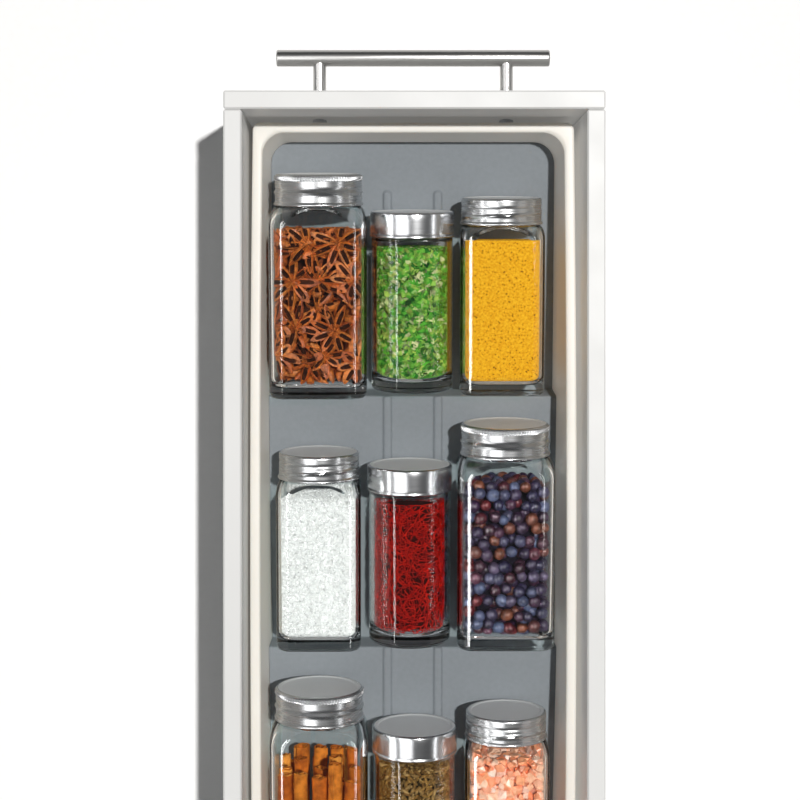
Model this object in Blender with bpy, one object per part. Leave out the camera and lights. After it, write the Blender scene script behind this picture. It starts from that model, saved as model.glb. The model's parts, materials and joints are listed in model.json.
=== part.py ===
"""Pull-out pantry drawer with a tiered spice organiser and nine glass jars.

Metres, +Z up. The drawer's front and its bar pull face -Y. The origin is on the floor, in the middle of
the whole footprint. The drawer rides on two flat-lying ball-bearing runners on a low base frame.
"""

import math

import bmesh
import bpy
from mathutils import Matrix, Vector

MM = 0.001
GAP = 0.3 * MM  # between pieces that touch or fit into each other

# Drawer box
DRAWER_WIDTH = 187 * MM
DRAWER_LENGTH = 450 * MM
WALL = 9 * MM
SIDE_HEIGHT = 110 * MM
SKIRT_CLEARANCE = 2.5 * MM  # from the floor to the lower edge of the front and the sides
BOTTOM_THICKNESS = 6 * MM
GROOVE_DEPTH = 4 * MM
EDGE_ROUND = 0.8 * MM

# Bar pull
PULL_CENTRES = 96 * MM
PULL_LENGTH = 140.6 * MM
PULL_DIAMETER = 8.6 * MM
POST_DIAMETER = 6.8 * MM
PULL_STAND_OFF = 22.6 * MM  # from the front's face to the bar's axis
PULL_BELOW_TOP = 53 * MM
BAR_CHAMFER = 0.9 * MM
SCREW_DIAMETER = 4 * MM
SCREW_HEAD_DIAMETER = 7.4 * MM
SCREW_HEAD_HEIGHT = 1.8 * MM
SCREW_BITE = 9 * MM  # how far a pull screw enters its post
HOLE_CLEARANCE = 0.3 * MM  # all round a screw or a rivet

# Runners, lying flat under the drawer
RUNNER_SPACING = 110 * MM
RUNNER_LENGTH = 425 * MM
RUNNER_WIDTH = 35 * MM
RUNNER_STEEL = 1 * MM
RACE_GAP = 3.8 * MM  # width left for the balls between two members
BALL_RADIUS = 1.6 * MM
CABINET_MEMBER_HEIGHT = 8.8 * MM
CABINET_LIP = 2.6 * MM
INNER_RACE_HEIGHT = 3.8 * MM  # between the middle member's floor and its lips
MIDDLE_LIP = 1.8 * MM
MIDDLE_SHORTER = 24 * MM
CAGE_LENGTH = 190 * MM
CAGE_SET_BACK = 92 * MM  # from the middle member's front end to the ball cages
CAGE_STEEL = 0.6 * MM
CAGE_CLEARANCE = 0.4 * MM
BALLS_PER_SIDE = 6
BUMPER_LENGTH = 8 * MM
TIE_STEEL = 1.5 * MM
TIE_WIDTH = 30 * MM
TIE_INSET = 26 * MM  # from each end of the runners to the tie
FLOOR_SCREW_SPACING = 40 * MM
FLOOR_SCREW_HOLE = 4.6 * MM
RIVET_RADIUS = 1.6 * MM
RIVET_HEAD_RADIUS = 3 * MM
RIVET_HEAD_HEIGHT = 1 * MM

# Organiser tray
TRAY_SIDE_CLEARANCE = 1.5 * MM
TRAY_FRONT_CLEARANCE = 2.8 * MM
TRAY_REAR_CLEARANCE = 18.5 * MM
TRAY_HEIGHT = 55.2 * MM
TRAY_BOW = 1.4 * MM  # how much the long sides bulge at the middle
BOW_STATIONS = 6
TRAY_RIM = 5.2 * MM
TRAY_SHELL = 2.4 * MM
TRAY_OUTER_CORNER = 4 * MM
TRAY_INNER_CORNER = 11 * MM
TRAY_DRAFT = math.radians(5)
CREST_BELOW_RIM = 28 * MM
TIER_COUNT = 3
TIER_DROP = 12.8 * MM
RISER_LEAN = 3.4 * MM
LINER_THICKNESS = 1.5 * MM
RIB_SPACING = 26.3 * MM
RIB_WIDTH = 5.5 * MM
RIB_CROWN = 2.8 * MM
RIB_HEIGHT = 1.3 * MM
RIB_START = 23 * MM  # from the top of the first tier to the ribs' round ends

# Jars: side or diameter, corner radius, length with the lid on, lid and shoulder
JAR_KINDS = {
    "large_square": {"width": 49.5 * MM, "corner": 9 * MM, "length": 113 * MM, "lid_width": 44.4 * MM,
                     "lid_height": 16 * MM, "bead": 0.7 * MM, "shoulder": 10 * MM},
    "small_square": {"width": 43 * MM, "corner": 8 * MM, "length": 100 * MM, "lid_width": 41 * MM,
                     "lid_height": 13.6 * MM, "bead": 0.9 * MM, "shoulder": 6.5 * MM},
    "round": {"width": 41.8 * MM, "corner": 20.9 * MM, "length": 92 * MM, "lid_width": 43.4 * MM,
              "lid_height": 13 * MM, "bead": 0.0, "shoulder": 4 * MM},
}
# Tier by tier from the front, and in each tier from the +X side: spice, kind of jar, how far the jar
# lies from its column towards +X, and how far in front of the riser behind it.
JAR_ROWS = (
    (("star_anise", "large_square", 0.8 * MM, 0.8 * MM),
     ("dried_herbs", "round", 0.5 * MM, 2.6 * MM),
     ("curry_powder", "small_square", 2.4 * MM, 1.6 * MM)),
    (("coarse_salt", "small_square", 0.6 * MM, 2.6 * MM),
     ("saffron", "round", 1.8 * MM, 4 * MM),
     ("juniper_berries", "large_square", 0.8 * MM, 4.6 * MM)),
    (("cinnamon_sticks", "large_square", 0.3 * MM, 1.1 * MM),
     ("cumin_seeds", "round", -0.7 * MM, 1 * MM),
     ("pink_salt", "small_square", 0.1 * MM, 1 * MM)),
)
JAR_SIDE_ROOM = 36.9 * MM  # from an outer column's middle to the drawer's side
GLASS_WALL = 2.4 * MM
JAR_STEPS = 5  # facets in a quarter turn of a jar's outline
GLASS_BASE = 4 * MM
LID_STEEL = 0.8 * MM
HEEL = 2.2 * MM  # bevel round a jar's base
LID_EDGE = 1.1 * MM  # bevel round a lid's top

# Heights that follow from the sizes above
RUNNER_BASE = TIE_STEEL + GAP
RUNNER_HEIGHT = 10.3 * MM
BOTTOM_Z = RUNNER_BASE + RUNNER_HEIGHT + GAP
BOTTOM_TOP_Z = BOTTOM_Z + BOTTOM_THICKNESS
DRAWER_TOP_Z = SKIRT_CLEARANCE + SIDE_HEIGHT
TRAY_Z = BOTTOM_TOP_Z + GAP
RIM_Z = TRAY_Z + TRAY_HEIGHT
CREST_Z = RIM_Z - CREST_BELOW_RIM

# Places along Y: the footprint runs from the bar's face to the drawer's back
FOOTPRINT = DRAWER_LENGTH + PULL_STAND_OFF + PULL_DIAMETER / 2
BACK_Y = FOOTPRINT / 2
FRONT_Y = BACK_Y - DRAWER_LENGTH
INNER_FRONT_Y = FRONT_Y + WALL
INNER_BACK_Y = BACK_Y - WALL
HALF_INSIDE = DRAWER_WIDTH / 2 - WALL
COLUMN_PITCH = HALF_INSIDE - JAR_SIDE_ROOM
TRAY_FRONT_Y = INNER_FRONT_Y + TRAY_FRONT_CLEARANCE
TRAY_BACK_Y = INNER_BACK_Y - TRAY_REAR_CLEARANCE
TIER_START_Y = TRAY_FRONT_Y + TRAY_RIM + CREST_BELOW_RIM * math.tan(TRAY_DRAFT) + 1.5 * MM
TIER_END_Y = TRAY_BACK_Y - TRAY_RIM - CREST_BELOW_RIM * math.tan(TRAY_DRAFT) - 1.5 * MM
TIER_PITCH = (TIER_END_Y - TIER_START_Y) / TIER_COUNT
TIER_SLOPE = math.atan2(TIER_DROP, TIER_PITCH - RISER_LEAN)


# ---------------------------------------------------------------- helpers

def clear_scene():
    for item in list(bpy.data.objects):
        bpy.data.objects.remove(item, do_unlink=True)


def material(name, color, roughness, metallic=0.0, transmission=0.0):
    made = bpy.data.materials.new(name)
    made.use_nodes = True
    shader = made.node_tree.nodes["Principled BSDF"]
    shader.inputs["Base Color"].default_value = (*color, 1)
    shader.inputs["Roughness"].default_value = roughness
    shader.inputs["Metallic"].default_value = metallic
    shader.inputs["Transmission Weight"].default_value = transmission
    return made


def add_object(name, mesh_bm, finish, smooth_angle=None):
    """Turn a bmesh into a scene object with outward normals."""
    bmesh.ops.recalc_face_normals(mesh_bm, faces=mesh_bm.faces)
    mesh = bpy.data.meshes.new(name)
    mesh_bm.to_mesh(mesh)
    mesh_bm.free()
    if finish:
        mesh.materials.append(finish)
    if smooth_angle:
        mesh.shade_smooth()
        mesh.set_sharp_from_angle(angle=math.radians(smooth_angle))
    made = bpy.data.objects.new(name, mesh)
    bpy.context.scene.collection.objects.link(made)
    return made


def box_bm(low, high, bevel=0.0):
    low, high = Vector(low), Vector(high)
    bm = bmesh.new()
    bmesh.ops.create_cube(bm, size=1.0)
    bmesh.ops.scale(bm, vec=high - low, verts=bm.verts)
    bmesh.ops.translate(bm, vec=(low + high) / 2, verts=bm.verts)
    if bevel:
        bmesh.ops.bevel(bm, geom=bm.edges[:], offset=bevel, segments=1,
                        affect="EDGES", profile=0.5, material=-1)
    return bm


def loft_bm(rings):
    """Closed skin through rings of equal point counts: a loop extruded ring by ring, then capped."""
    bm = bmesh.new()
    loop = [bm.verts.new(point) for point in rings[0]]
    edges = [bm.edges.new((loop[i - 1], loop[i])) for i in range(len(loop))]
    bm.faces.new(loop)
    for ring in rings[1:]:
        made = bmesh.ops.extrude_edge_only(bm, edges=edges)["geom"]
        twins = {item for item in made if isinstance(item, bmesh.types.BMVert)}
        loop = [next(edge.other_vert(vert) for edge in vert.link_edges if edge.other_vert(vert) in twins)
                for vert in loop]
        for vert, point in zip(loop, ring):
            vert.co = point
        edges = [bm.edges.get((loop[i - 1], loop[i])) for i in range(len(loop))]
    bm.faces.new(loop)
    return bm


def prism_bm(outline, start, end):
    """A closed (x, z) outline extruded along Y."""
    return loft_bm([[(x, y, z) for x, z in outline] for y in (start, end)])


def cutter(name, bm):
    made = add_object(name, bm, None)
    made.hide_render = True
    made.display_type = "WIRE"
    return made


def boolean(target, tool, operation="DIFFERENCE"):
    step = target.modifiers.new(f"{operation.lower()}_{tool.name}", "BOOLEAN")
    step.operation = operation
    step.object = tool
    step.solver = "EXACT"


def rounded_ring(half_x, half_y, corner, steps, z, centre=(0.0, 0.0)):
    """Rounded rectangle with flats exactly at half_x and half_y. A corner as large as both is a circle."""
    radius = corner / math.cos(math.pi / (4 * steps))
    ring = []
    for quadrant in range(4):
        middle = math.radians(45 + 90 * quadrant)
        side_x = math.copysign(half_x - corner, math.cos(middle))
        side_y = math.copysign(half_y - corner, math.sin(middle))
        for step in range(steps):
            angle = math.radians(90 * quadrant + 90 * (step + 0.5) / steps)
            ring.append((centre[0] + side_x + radius * math.cos(angle),
                         centre[1] + side_y + radius * math.sin(angle), z))
    return ring


def cylinder_bm(radius, start, end, sides=20, bevel=0.0):
    """Round bar between two points."""
    start, end = Vector(start), Vector(end)
    length = (end - start).length
    rings = []
    for z, r in ((0.0, radius - bevel), (bevel, radius), (length - bevel, radius), (length, radius - bevel)):
        if bevel or r == radius:
            rings.append([(r * math.cos(2 * math.pi * i / sides), r * math.sin(2 * math.pi * i / sides), z)
                          for i in range(sides)])
    if not bevel:
        rings = [rings[0], rings[-1]]
    bm = loft_bm(rings)
    turn = Vector((0, 0, 1)).rotation_difference(end - start).to_matrix().to_4x4()
    bmesh.ops.transform(bm, matrix=Matrix.Translation(start) @ turn, verts=bm.verts)
    return bm


def empty(name, location, parent=None):
    made = bpy.data.objects.new(name, None)
    bpy.context.scene.collection.objects.link(made)
    made.location = location
    made.parent = parent
    return made


def attach(child, parent):
    """Parent an object, keeping it where it is."""
    child.parent = parent
    child.matrix_parent_inverse = parent.matrix_world.inverted()


# ---------------------------------------------------------------- drawer box

def make_drawer(paint, board, moving):
    half = DRAWER_WIDTH / 2
    groove_x = HALF_INSIDE + GROOVE_DEPTH
    side_start = INNER_FRONT_Y + GAP
    front = add_object("drawer_front", box_bm((-half, FRONT_Y, SKIRT_CLEARANCE),
                                              (half, INNER_FRONT_Y, DRAWER_TOP_Z), EDGE_ROUND), paint)
    back = add_object("drawer_back", box_bm((-HALF_INSIDE + GAP, INNER_BACK_Y, BOTTOM_TOP_Z + GAP),
                                            (HALF_INSIDE - GAP, BACK_Y, DRAWER_TOP_Z), EDGE_ROUND), paint)
    groove = cutter("bottom_groove", box_bm(
        (-groove_x, INNER_FRONT_Y - GROOVE_DEPTH, BOTTOM_Z - GAP),
        (groove_x, BACK_Y + WALL, BOTTOM_TOP_Z + GAP)))
    boolean(front, groove)
    sides = []
    for name, sign in (("left", 1), ("right", -1)):
        low_x, high_x = sorted((sign * HALF_INSIDE, sign * half))
        side = add_object(f"drawer_side_{name}", box_bm((low_x, side_start, SKIRT_CLEARANCE),
                                                        (high_x, BACK_Y, DRAWER_TOP_Z), EDGE_ROUND), paint)
        boolean(side, groove)
        sides.append(side)
    bottom = add_object("drawer_bottom", box_bm(
        (-groove_x + GAP, INNER_FRONT_Y - GROOVE_DEPTH + GAP, BOTTOM_Z),
        (groove_x - GAP, BACK_Y - GAP, BOTTOM_TOP_Z)), board)
    for piece in (front, back, *sides, bottom, groove):
        attach(piece, moving)
    return front


def make_pull(front, steel, screw_steel, moving):
    axis_y = FRONT_Y - PULL_STAND_OFF
    axis_z = DRAWER_TOP_Z - PULL_BELOW_TOP
    hole = SCREW_DIAMETER / 2 + HOLE_CLEARANCE
    bar = add_object("pull_bar", cylinder_bm(
        PULL_DIAMETER / 2, (-PULL_LENGTH / 2, axis_y, axis_z), (PULL_LENGTH / 2, axis_y, axis_z),
        sides=28, bevel=BAR_CHAMFER), steel, smooth_angle=30)
    saddle = cutter("pull_saddle", cylinder_bm(
        PULL_DIAMETER / 2 + GAP, (-PULL_LENGTH, axis_y, axis_z), (PULL_LENGTH, axis_y, axis_z), sides=28))
    pieces = [bar, saddle]
    for name, sign in (("left", 1), ("right", -1)):
        x = sign * PULL_CENTRES / 2
        post = add_object(f"pull_post_{name}", cylinder_bm(
            POST_DIAMETER / 2, (x, FRONT_Y - GAP, axis_z), (x, axis_y, axis_z), sides=24),
            steel, smooth_angle=30)
        tapped = cutter(f"post_thread_{name}", cylinder_bm(
            hole, (x, FRONT_Y - SCREW_BITE - GAP, axis_z), (x, FRONT_Y + WALL, axis_z), sides=16))
        drilled = cutter(f"front_hole_{name}", cylinder_bm(
            hole, (x, FRONT_Y - WALL, axis_z), (x, INNER_FRONT_Y + WALL, axis_z), sides=16))
        boolean(post, saddle)
        boolean(post, tapped)
        boolean(front, drilled)
        screw = add_object(f"pull_screw_{name}", cylinder_bm(
            SCREW_DIAMETER / 2, (x, FRONT_Y - SCREW_BITE, axis_z),
            (x, INNER_FRONT_Y + GAP + SCREW_HEAD_HEIGHT / 2, axis_z), sides=14),
            screw_steel, smooth_angle=30)
        head = cutter(f"screw_head_{name}", cylinder_bm(
            SCREW_HEAD_DIAMETER / 2, (x, INNER_FRONT_Y + GAP, axis_z),
            (x, INNER_FRONT_Y + GAP + SCREW_HEAD_HEIGHT, axis_z), sides=16, bevel=0.4 * MM))
        boolean(screw, head, "UNION")
        pieces += [post, tapped, drilled, screw, head]
    for piece in pieces:
        attach(piece, moving)


# ---------------------------------------------------------------- runners and base

def channel(half, low, high, lip, steel=RUNNER_STEEL, opens_up=True):
    """(x, z) outline of a C channel with inward lips, symmetric about x = 0."""
    right = [(half, low), (half, high), (half - lip, high), (half - lip, high - steel),
             (half - steel, high - steel), (half - steel, low + steel)]
    if not lip:
        right = [(half, low), (half, high), (half - steel, high), (half - steel, low + steel)]
    outline = right + [(-x, z) for x, z in reversed(right)]
    return outline if opens_up else [(x, low + high - z) for x, z in outline]


def make_cage(name, half, low, high, start, centre_x, steel):
    """Ball retainer: a thin U-shaped strip with a row of balls in each upright edge."""
    strip = add_object(name, prism_bm(
        [(x + centre_x, z) for x, z in channel(half, low, high, 0, CAGE_STEEL)],
        start, start + CAGE_LENGTH), steel)
    balls = bmesh.new()
    for side in (-1, 1):
        for number in range(BALLS_PER_SIDE):
            y = start + CAGE_LENGTH * (number + 0.5) / BALLS_PER_SIDE
            centre = (centre_x + side * (half - CAGE_STEEL / 2), y, high - BALL_RADIUS - GAP)
            bmesh.ops.create_icosphere(balls, subdivisions=1, radius=BALL_RADIUS,
                                       matrix=Matrix.Translation(centre))
    boolean(strip, cutter(f"{name}_balls", balls), "UNION")
    return strip


def make_runners(zinc, ball_steel, rubber, bodies):
    """Two ball-bearing runners of three nested channels each; the widest is fixed to the base."""
    start = -RUNNER_LENGTH / 2 + (INNER_FRONT_Y + INNER_BACK_Y) / 2
    end = start + RUNNER_LENGTH
    middle_start, middle_end = start + MIDDLE_SHORTER / 2, end - MIDDLE_SHORTER / 2
    drawer_end = end - BUMPER_LENGTH - 2 * MM
    cage_start = middle_start + CAGE_SET_BACK
    half = RUNNER_WIDTH / 2
    middle_half = half - RUNNER_STEEL - RACE_GAP
    drawer_half = middle_half - RUNNER_STEEL - RACE_GAP + GAP
    outer_cage_half = half - RUNNER_STEEL - RACE_GAP / 2 + CAGE_STEEL / 2
    inner_cage_half = middle_half - RUNNER_STEEL - RACE_GAP / 2 + CAGE_STEEL / 2
    cabinet_top = RUNNER_BASE + CABINET_MEMBER_HEIGHT
    drawer_top = RUNNER_BASE + RUNNER_HEIGHT
    outer_cage_low = RUNNER_BASE + RUNNER_STEEL + CAGE_CLEARANCE
    middle_low = outer_cage_low + CAGE_STEEL + CAGE_CLEARANCE
    middle_top = middle_low + 2 * RUNNER_STEEL + INNER_RACE_HEIGHT
    inner_cage_low = middle_low + RUNNER_STEEL + CAGE_CLEARANCE
    drawer_low = inner_cage_low + CAGE_STEEL + CAGE_CLEARANCE / 2
    outer_cage_top = cabinet_top - RUNNER_STEEL - 2 * CAGE_CLEARANCE
    inner_cage_top = middle_top - RUNNER_STEEL
    cabinet_members = []
    for name, sign in (("left", 1), ("right", -1)):
        x = sign * RUNNER_SPACING / 2

        def member(role, outline, y_from, y_to, x=x, name=name):
            moved = [(px + x, z) for px, z in outline]
            return add_object(f"runner_{name}_{role}", prism_bm(moved, y_from, y_to), zinc)

        cabinet = member("cabinet_member", channel(half, RUNNER_BASE, cabinet_top, CABINET_LIP), start, end)
        middle = member("middle_member", channel(middle_half, middle_low, middle_top, MIDDLE_LIP),
                        middle_start, middle_end)
        drawer = member("drawer_member", channel(drawer_half, drawer_low, drawer_top, 0, opens_up=False),
                        start, drawer_end)
        outer_cage = make_cage(f"runner_{name}_outer_cage", outer_cage_half, outer_cage_low, outer_cage_top,
                               cage_start, x, ball_steel)
        inner_cage = make_cage(f"runner_{name}_inner_cage", inner_cage_half, inner_cage_low, inner_cage_top,
                               cage_start, x, ball_steel)
        bumper_half = half - RUNNER_STEEL - GAP
        bumper = add_object(f"runner_{name}_bumper", box_bm(
            (x - bumper_half, end - BUMPER_LENGTH, RUNNER_BASE + RUNNER_STEEL + GAP),
            (x + bumper_half, end, cabinet_top - RUNNER_STEEL - GAP), EDGE_ROUND), rubber)
        for piece, body in ((cabinet, "base"), (middle, "middle"), (drawer, "drawer"),
                            (outer_cage, "outer_cages"), (inner_cage, "inner_cages"), (bumper, "base")):
            attach(piece, bodies[body])
        cabinet_members.append((cabinet, x, sign))
    return start, end, cabinet_members


def make_base_ties(zinc, rivet_steel, bodies, start, end, cabinet_members):
    """Cross ties under the runners: straps with upturned ears, riveted to the runners' outer flanges."""
    half = RUNNER_WIDTH / 2
    ear_inside = RUNNER_SPACING / 2 + half + GAP
    rivet_z = RUNNER_BASE + CABINET_MEMBER_HEIGHT / 2
    ear_top = rivet_z + RIVET_HEAD_RADIUS + GAP
    for place, y in (("front", start + TIE_INSET), ("rear", end - TIE_INSET - TIE_WIDTH)):
        outline = channel(ear_inside + TIE_STEEL, 0.0, ear_top, 0, TIE_STEEL)
        tie = add_object(f"base_tie_{place}", prism_bm(outline, y, y + TIE_WIDTH), zinc)
        attach(tie, bodies["base"])
        for side in (-1, 1):
            x = side * FLOOR_SCREW_SPACING / 2
            below, above = (x, y + TIE_WIDTH / 2, -TIE_STEEL), (x, y + TIE_WIDTH / 2, 2 * TIE_STEEL)
            screw_hole = cutter(f"floor_screw_hole_{place}_{'left' if side > 0 else 'right'}",
                                cylinder_bm(FLOOR_SCREW_HOLE / 2, below, above, sides=16))
            boolean(tie, screw_hole)
            attach(screw_hole, bodies["base"])
        for cabinet, x, sign in cabinet_members:
            side = "left" if sign > 0 else "right"
            inside = (x + sign * (half - RUNNER_STEEL), y + TIE_WIDTH / 2, rivet_z)
            outside = (sign * (ear_inside + TIE_STEEL + GAP), y + TIE_WIDTH / 2, rivet_z)
            beyond = (outside[0] + sign * RIVET_HEAD_HEIGHT, *outside[1:])
            hole = cutter(f"rivet_hole_{place}_{side}", cylinder_bm(
                RIVET_RADIUS + HOLE_CLEARANCE, (inside[0] - sign * RUNNER_STEEL / 2, *inside[1:]), beyond,
                sides=14))
            boolean(tie, hole)
            boolean(cabinet, hole)
            rivet = add_object(f"base_rivet_{place}_{side}", cylinder_bm(
                RIVET_RADIUS, inside, (outside[0] + sign * RIVET_HEAD_HEIGHT / 2, *outside[1:]), sides=12),
                rivet_steel, smooth_angle=30)
            head = cutter(f"rivet_head_{place}_{side}", cylinder_bm(
                RIVET_HEAD_RADIUS, outside, beyond, sides=16, bevel=0.3 * MM))
            boolean(rivet, head, "UNION")
            for piece in (hole, rivet, head):
                attach(piece, bodies["base"])


# ---------------------------------------------------------------- organiser

def steps_outline(shift):
    """The stepped floor from front to back as (y, z) points, moved back and down by shift."""
    points = [(TRAY_FRONT_Y, CREST_Z + (TIER_START_Y - TRAY_FRONT_Y) * math.tan(TIER_SLOPE))]
    for tier in range(TIER_COUNT):
        start = TIER_START_Y + tier * TIER_PITCH
        if tier:
            points.append((start, CREST_Z))
        points.append((start + TIER_PITCH - RISER_LEAN, CREST_Z - TIER_DROP))
    points.append((TIER_END_Y, CREST_Z))
    moved = [(y + shift, z - shift) for y, z in points]
    return [(TRAY_FRONT_Y - 20 * MM, moved[0][1])] + moved + [(TRAY_BACK_Y + 20 * MM, moved[-1][1])]


def beside_steps_bm(shift, far_z):
    """Everything between the stepped floor and a far level, wider than the tray."""
    outline = steps_outline(shift)
    outline += [(outline[-1][0], far_z), (outline[0][0], far_z)]
    return loft_bm([[(x, y, z) for y, z in outline] for x in (-DRAWER_WIDTH, DRAWER_WIDTH)])


def tray_block_bm(levels):
    """Rounded block through (inset, corner, z) levels, its long sides bowed out along a flat arc."""
    half_x = HALF_INSIDE - TRAY_SIDE_CLEARANCE - TRAY_BOW
    half_y = (TRAY_BACK_Y - TRAY_FRONT_Y) / 2
    centre_y = (TRAY_BACK_Y + TRAY_FRONT_Y) / 2
    bm = loft_bm([rounded_ring(half_x - inset, half_y - inset, corner, 3, z, (0.0, centre_y))
                  for inset, corner, z in levels])
    for station in range(1, BOW_STATIONS):
        y = centre_y + half_y * (2 * station / BOW_STATIONS - 1)
        bmesh.ops.bisect_plane(bm, geom=bm.verts[:] + bm.edges[:] + bm.faces[:],
                               plane_co=(0, y, 0), plane_no=(0, 1, 0))
    for vert in bm.verts:
        along = (vert.co.y - centre_y) / half_y
        vert.co.x += TRAY_BOW * (1 - along * along) * vert.co.x / half_x
    return bm


def cavity_bm(clearance=0.0):
    """The tray's drafted inside, from above its rim to below its floor."""
    above, below = 2 * MM, TRAY_HEIGHT - 4 * MM
    return tray_block_bm([
        (TRAY_RIM + clearance - above * math.tan(TRAY_DRAFT), TRAY_INNER_CORNER, RIM_Z + above),
        (TRAY_RIM + clearance + below * math.tan(TRAY_DRAFT), TRAY_INNER_CORNER - clearance, RIM_Z - below)])


def rib_bm(x, start, end, tier_start, bullet):
    """A raised rib lying on a tier's slope, with a round nose if it starts on open floor."""
    slope = math.tan(TIER_SLOPE)
    sink = 0.5 * MM
    rings = []
    for along, size in ((0.0, 0.35), (0.6 * MM, 0.75), (2.2 * MM, 1.0)) if bullet else ((0.0, 1.0),):
        rings.append((start + along, size))
    rings.append((end, 1.0))
    loops = []
    for y, size in rings:
        floor = CREST_Z - (y - tier_start) * slope
        foot, crown, top = RIB_WIDTH / 2 * size, RIB_CROWN / 2 * size, floor + RIB_HEIGHT * size
        loops.append([(x - foot, y, floor - sink), (x + foot, y, floor - sink), (x + foot, y, floor),
                      (x + crown, y, top), (x - crown, y, top), (x - foot, y, floor)])
    return loft_bm(loops)


def make_organiser(cream, grey, moving):
    tray = add_object("organiser_tray", tray_block_bm([
        (TRAY_RIM - 3 * MM, TRAY_OUTER_CORNER, TRAY_Z), (0.0, TRAY_OUTER_CORNER, RIM_Z - EDGE_ROUND),
        (EDGE_ROUND, TRAY_OUTER_CORNER - EDGE_ROUND, RIM_Z)]), cream)
    liner = add_object("tray_liner", cavity_bm(GAP), grey)
    inside = cutter("tray_inside", cavity_bm())
    above_floor = cutter("above_tray_floor", beside_steps_bm(LINER_THICKNESS + GAP, RIM_Z + 20 * MM))
    boolean(inside, above_floor, "INTERSECT")
    underside = cutter("tray_underside", tray_block_bm([
        (TRAY_RIM - 3 * MM + TRAY_SHELL, TRAY_OUTER_CORNER, TRAY_Z - 2 * MM),
        (TRAY_RIM + TRAY_SHELL, TRAY_OUTER_CORNER, RIM_Z)]))
    below_floor = cutter("below_tray_floor",
                         beside_steps_bm(LINER_THICKNESS + GAP + TRAY_SHELL, TRAY_Z - 20 * MM))
    boolean(underside, below_floor, "INTERSECT")
    boolean(tray, inside)
    boolean(tray, underside)
    liner_top = cutter("above_liner", beside_steps_bm(0.0, RIM_Z + 20 * MM))
    liner_bottom = cutter("below_liner", beside_steps_bm(LINER_THICKNESS, TRAY_Z - 20 * MM))
    boolean(liner, liner_top)
    boolean(liner, liner_bottom)
    pieces = [tray, liner, inside, above_floor, underside, below_floor, liner_top, liner_bottom]
    for tier in range(TIER_COUNT):
        tier_start = TIER_START_Y + tier * TIER_PITCH
        start = tier_start + (0.6 * MM if tier else RIB_START)
        end = tier_start + TIER_PITCH - RISER_LEAN + 0.6 * MM
        for side in (-1, 1):
            rib = cutter(f"rib_{tier}_{'left' if side > 0 else 'right'}",
                         rib_bm(side * RIB_SPACING / 2, start, end, tier_start, bullet=not tier))
            boolean(liner, rib, "UNION")
            pieces.append(rib)
    for piece in pieces:
        attach(piece, moving)


# ---------------------------------------------------------------- jars

def jar_glass_bm(kind):
    """Glass skin: up the outside from the base, over the mouth, and down the inside."""
    half, corner = kind["width"] / 2, kind["corner"]
    neck = kind["lid_width"] / 2 - LID_STEEL - GAP
    neck_start = kind["length"] - kind["lid_height"] - GAP
    body_end = neck_start - kind["shoulder"]
    mouth = kind["length"] - LID_STEEL - GAP
    waist = neck + 0.7 * (half - neck)
    inner = half - GLASS_WALL
    inner_corner = corner - GLASS_WALL
    inner_neck = neck - GLASS_WALL
    levels = [(half - HEEL, corner - HEEL, 0.0), (half, corner, HEEL), (half, corner, body_end),
              (waist, (corner + neck) / 2, body_end + 0.6 * kind["shoulder"]),
              (neck, neck, neck_start), (neck, neck, mouth),
              (inner_neck, inner_neck, mouth), (inner_neck, inner_neck, neck_start - GLASS_WALL),
              (inner, inner_corner, body_end), (inner, inner_corner, GLASS_BASE + HEEL),
              (inner - HEEL, inner_corner - HEEL, GLASS_BASE)]
    return loft_bm([rounded_ring(reach, reach, bend, JAR_STEPS, z) for reach, bend, z in levels])


def jar_fill_bm(kind):
    """The dry goods, a hair smaller than the glass round them, filled to just below the shoulder."""
    half = kind["width"] / 2 - GLASS_WALL - GAP
    corner = kind["corner"] - GLASS_WALL - GAP
    start = GLASS_BASE + GAP
    end = kind["length"] - kind["lid_height"] - GAP - kind["shoulder"] - GAP
    levels = [(half - HEEL, corner - HEEL, start), (half, corner, start + HEEL),
              (half, corner, end - HEEL), (half - HEEL, corner - HEEL, end)]
    return loft_bm([rounded_ring(reach, reach, bend, JAR_STEPS, z) for reach, bend, z in levels])


def jar_lid_bm(kind):
    """Screw lid: a shallow cup over the neck with a curled lower edge, in its own place from z = 0."""
    outer, height = kind["lid_width"] / 2, kind["lid_height"]
    inner = outer - LID_STEEL
    curl = outer + kind["bead"]
    levels = [(outer - LID_EDGE, height), (outer, height - LID_EDGE), (outer, 2 * LID_EDGE),
              (curl, LID_EDGE), (curl, 0.0), (inner, 0.0), (inner, height - LID_STEEL)]
    if not kind["bead"]:
        levels = [(outer - LID_EDGE, height), (outer, height - LID_EDGE), (outer, 0.0),
                  (inner, 0.0), (inner, height - LID_STEEL)]
    return loft_bm([rounded_ring(reach, reach, reach, JAR_STEPS, z) for reach, z in levels])


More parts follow.
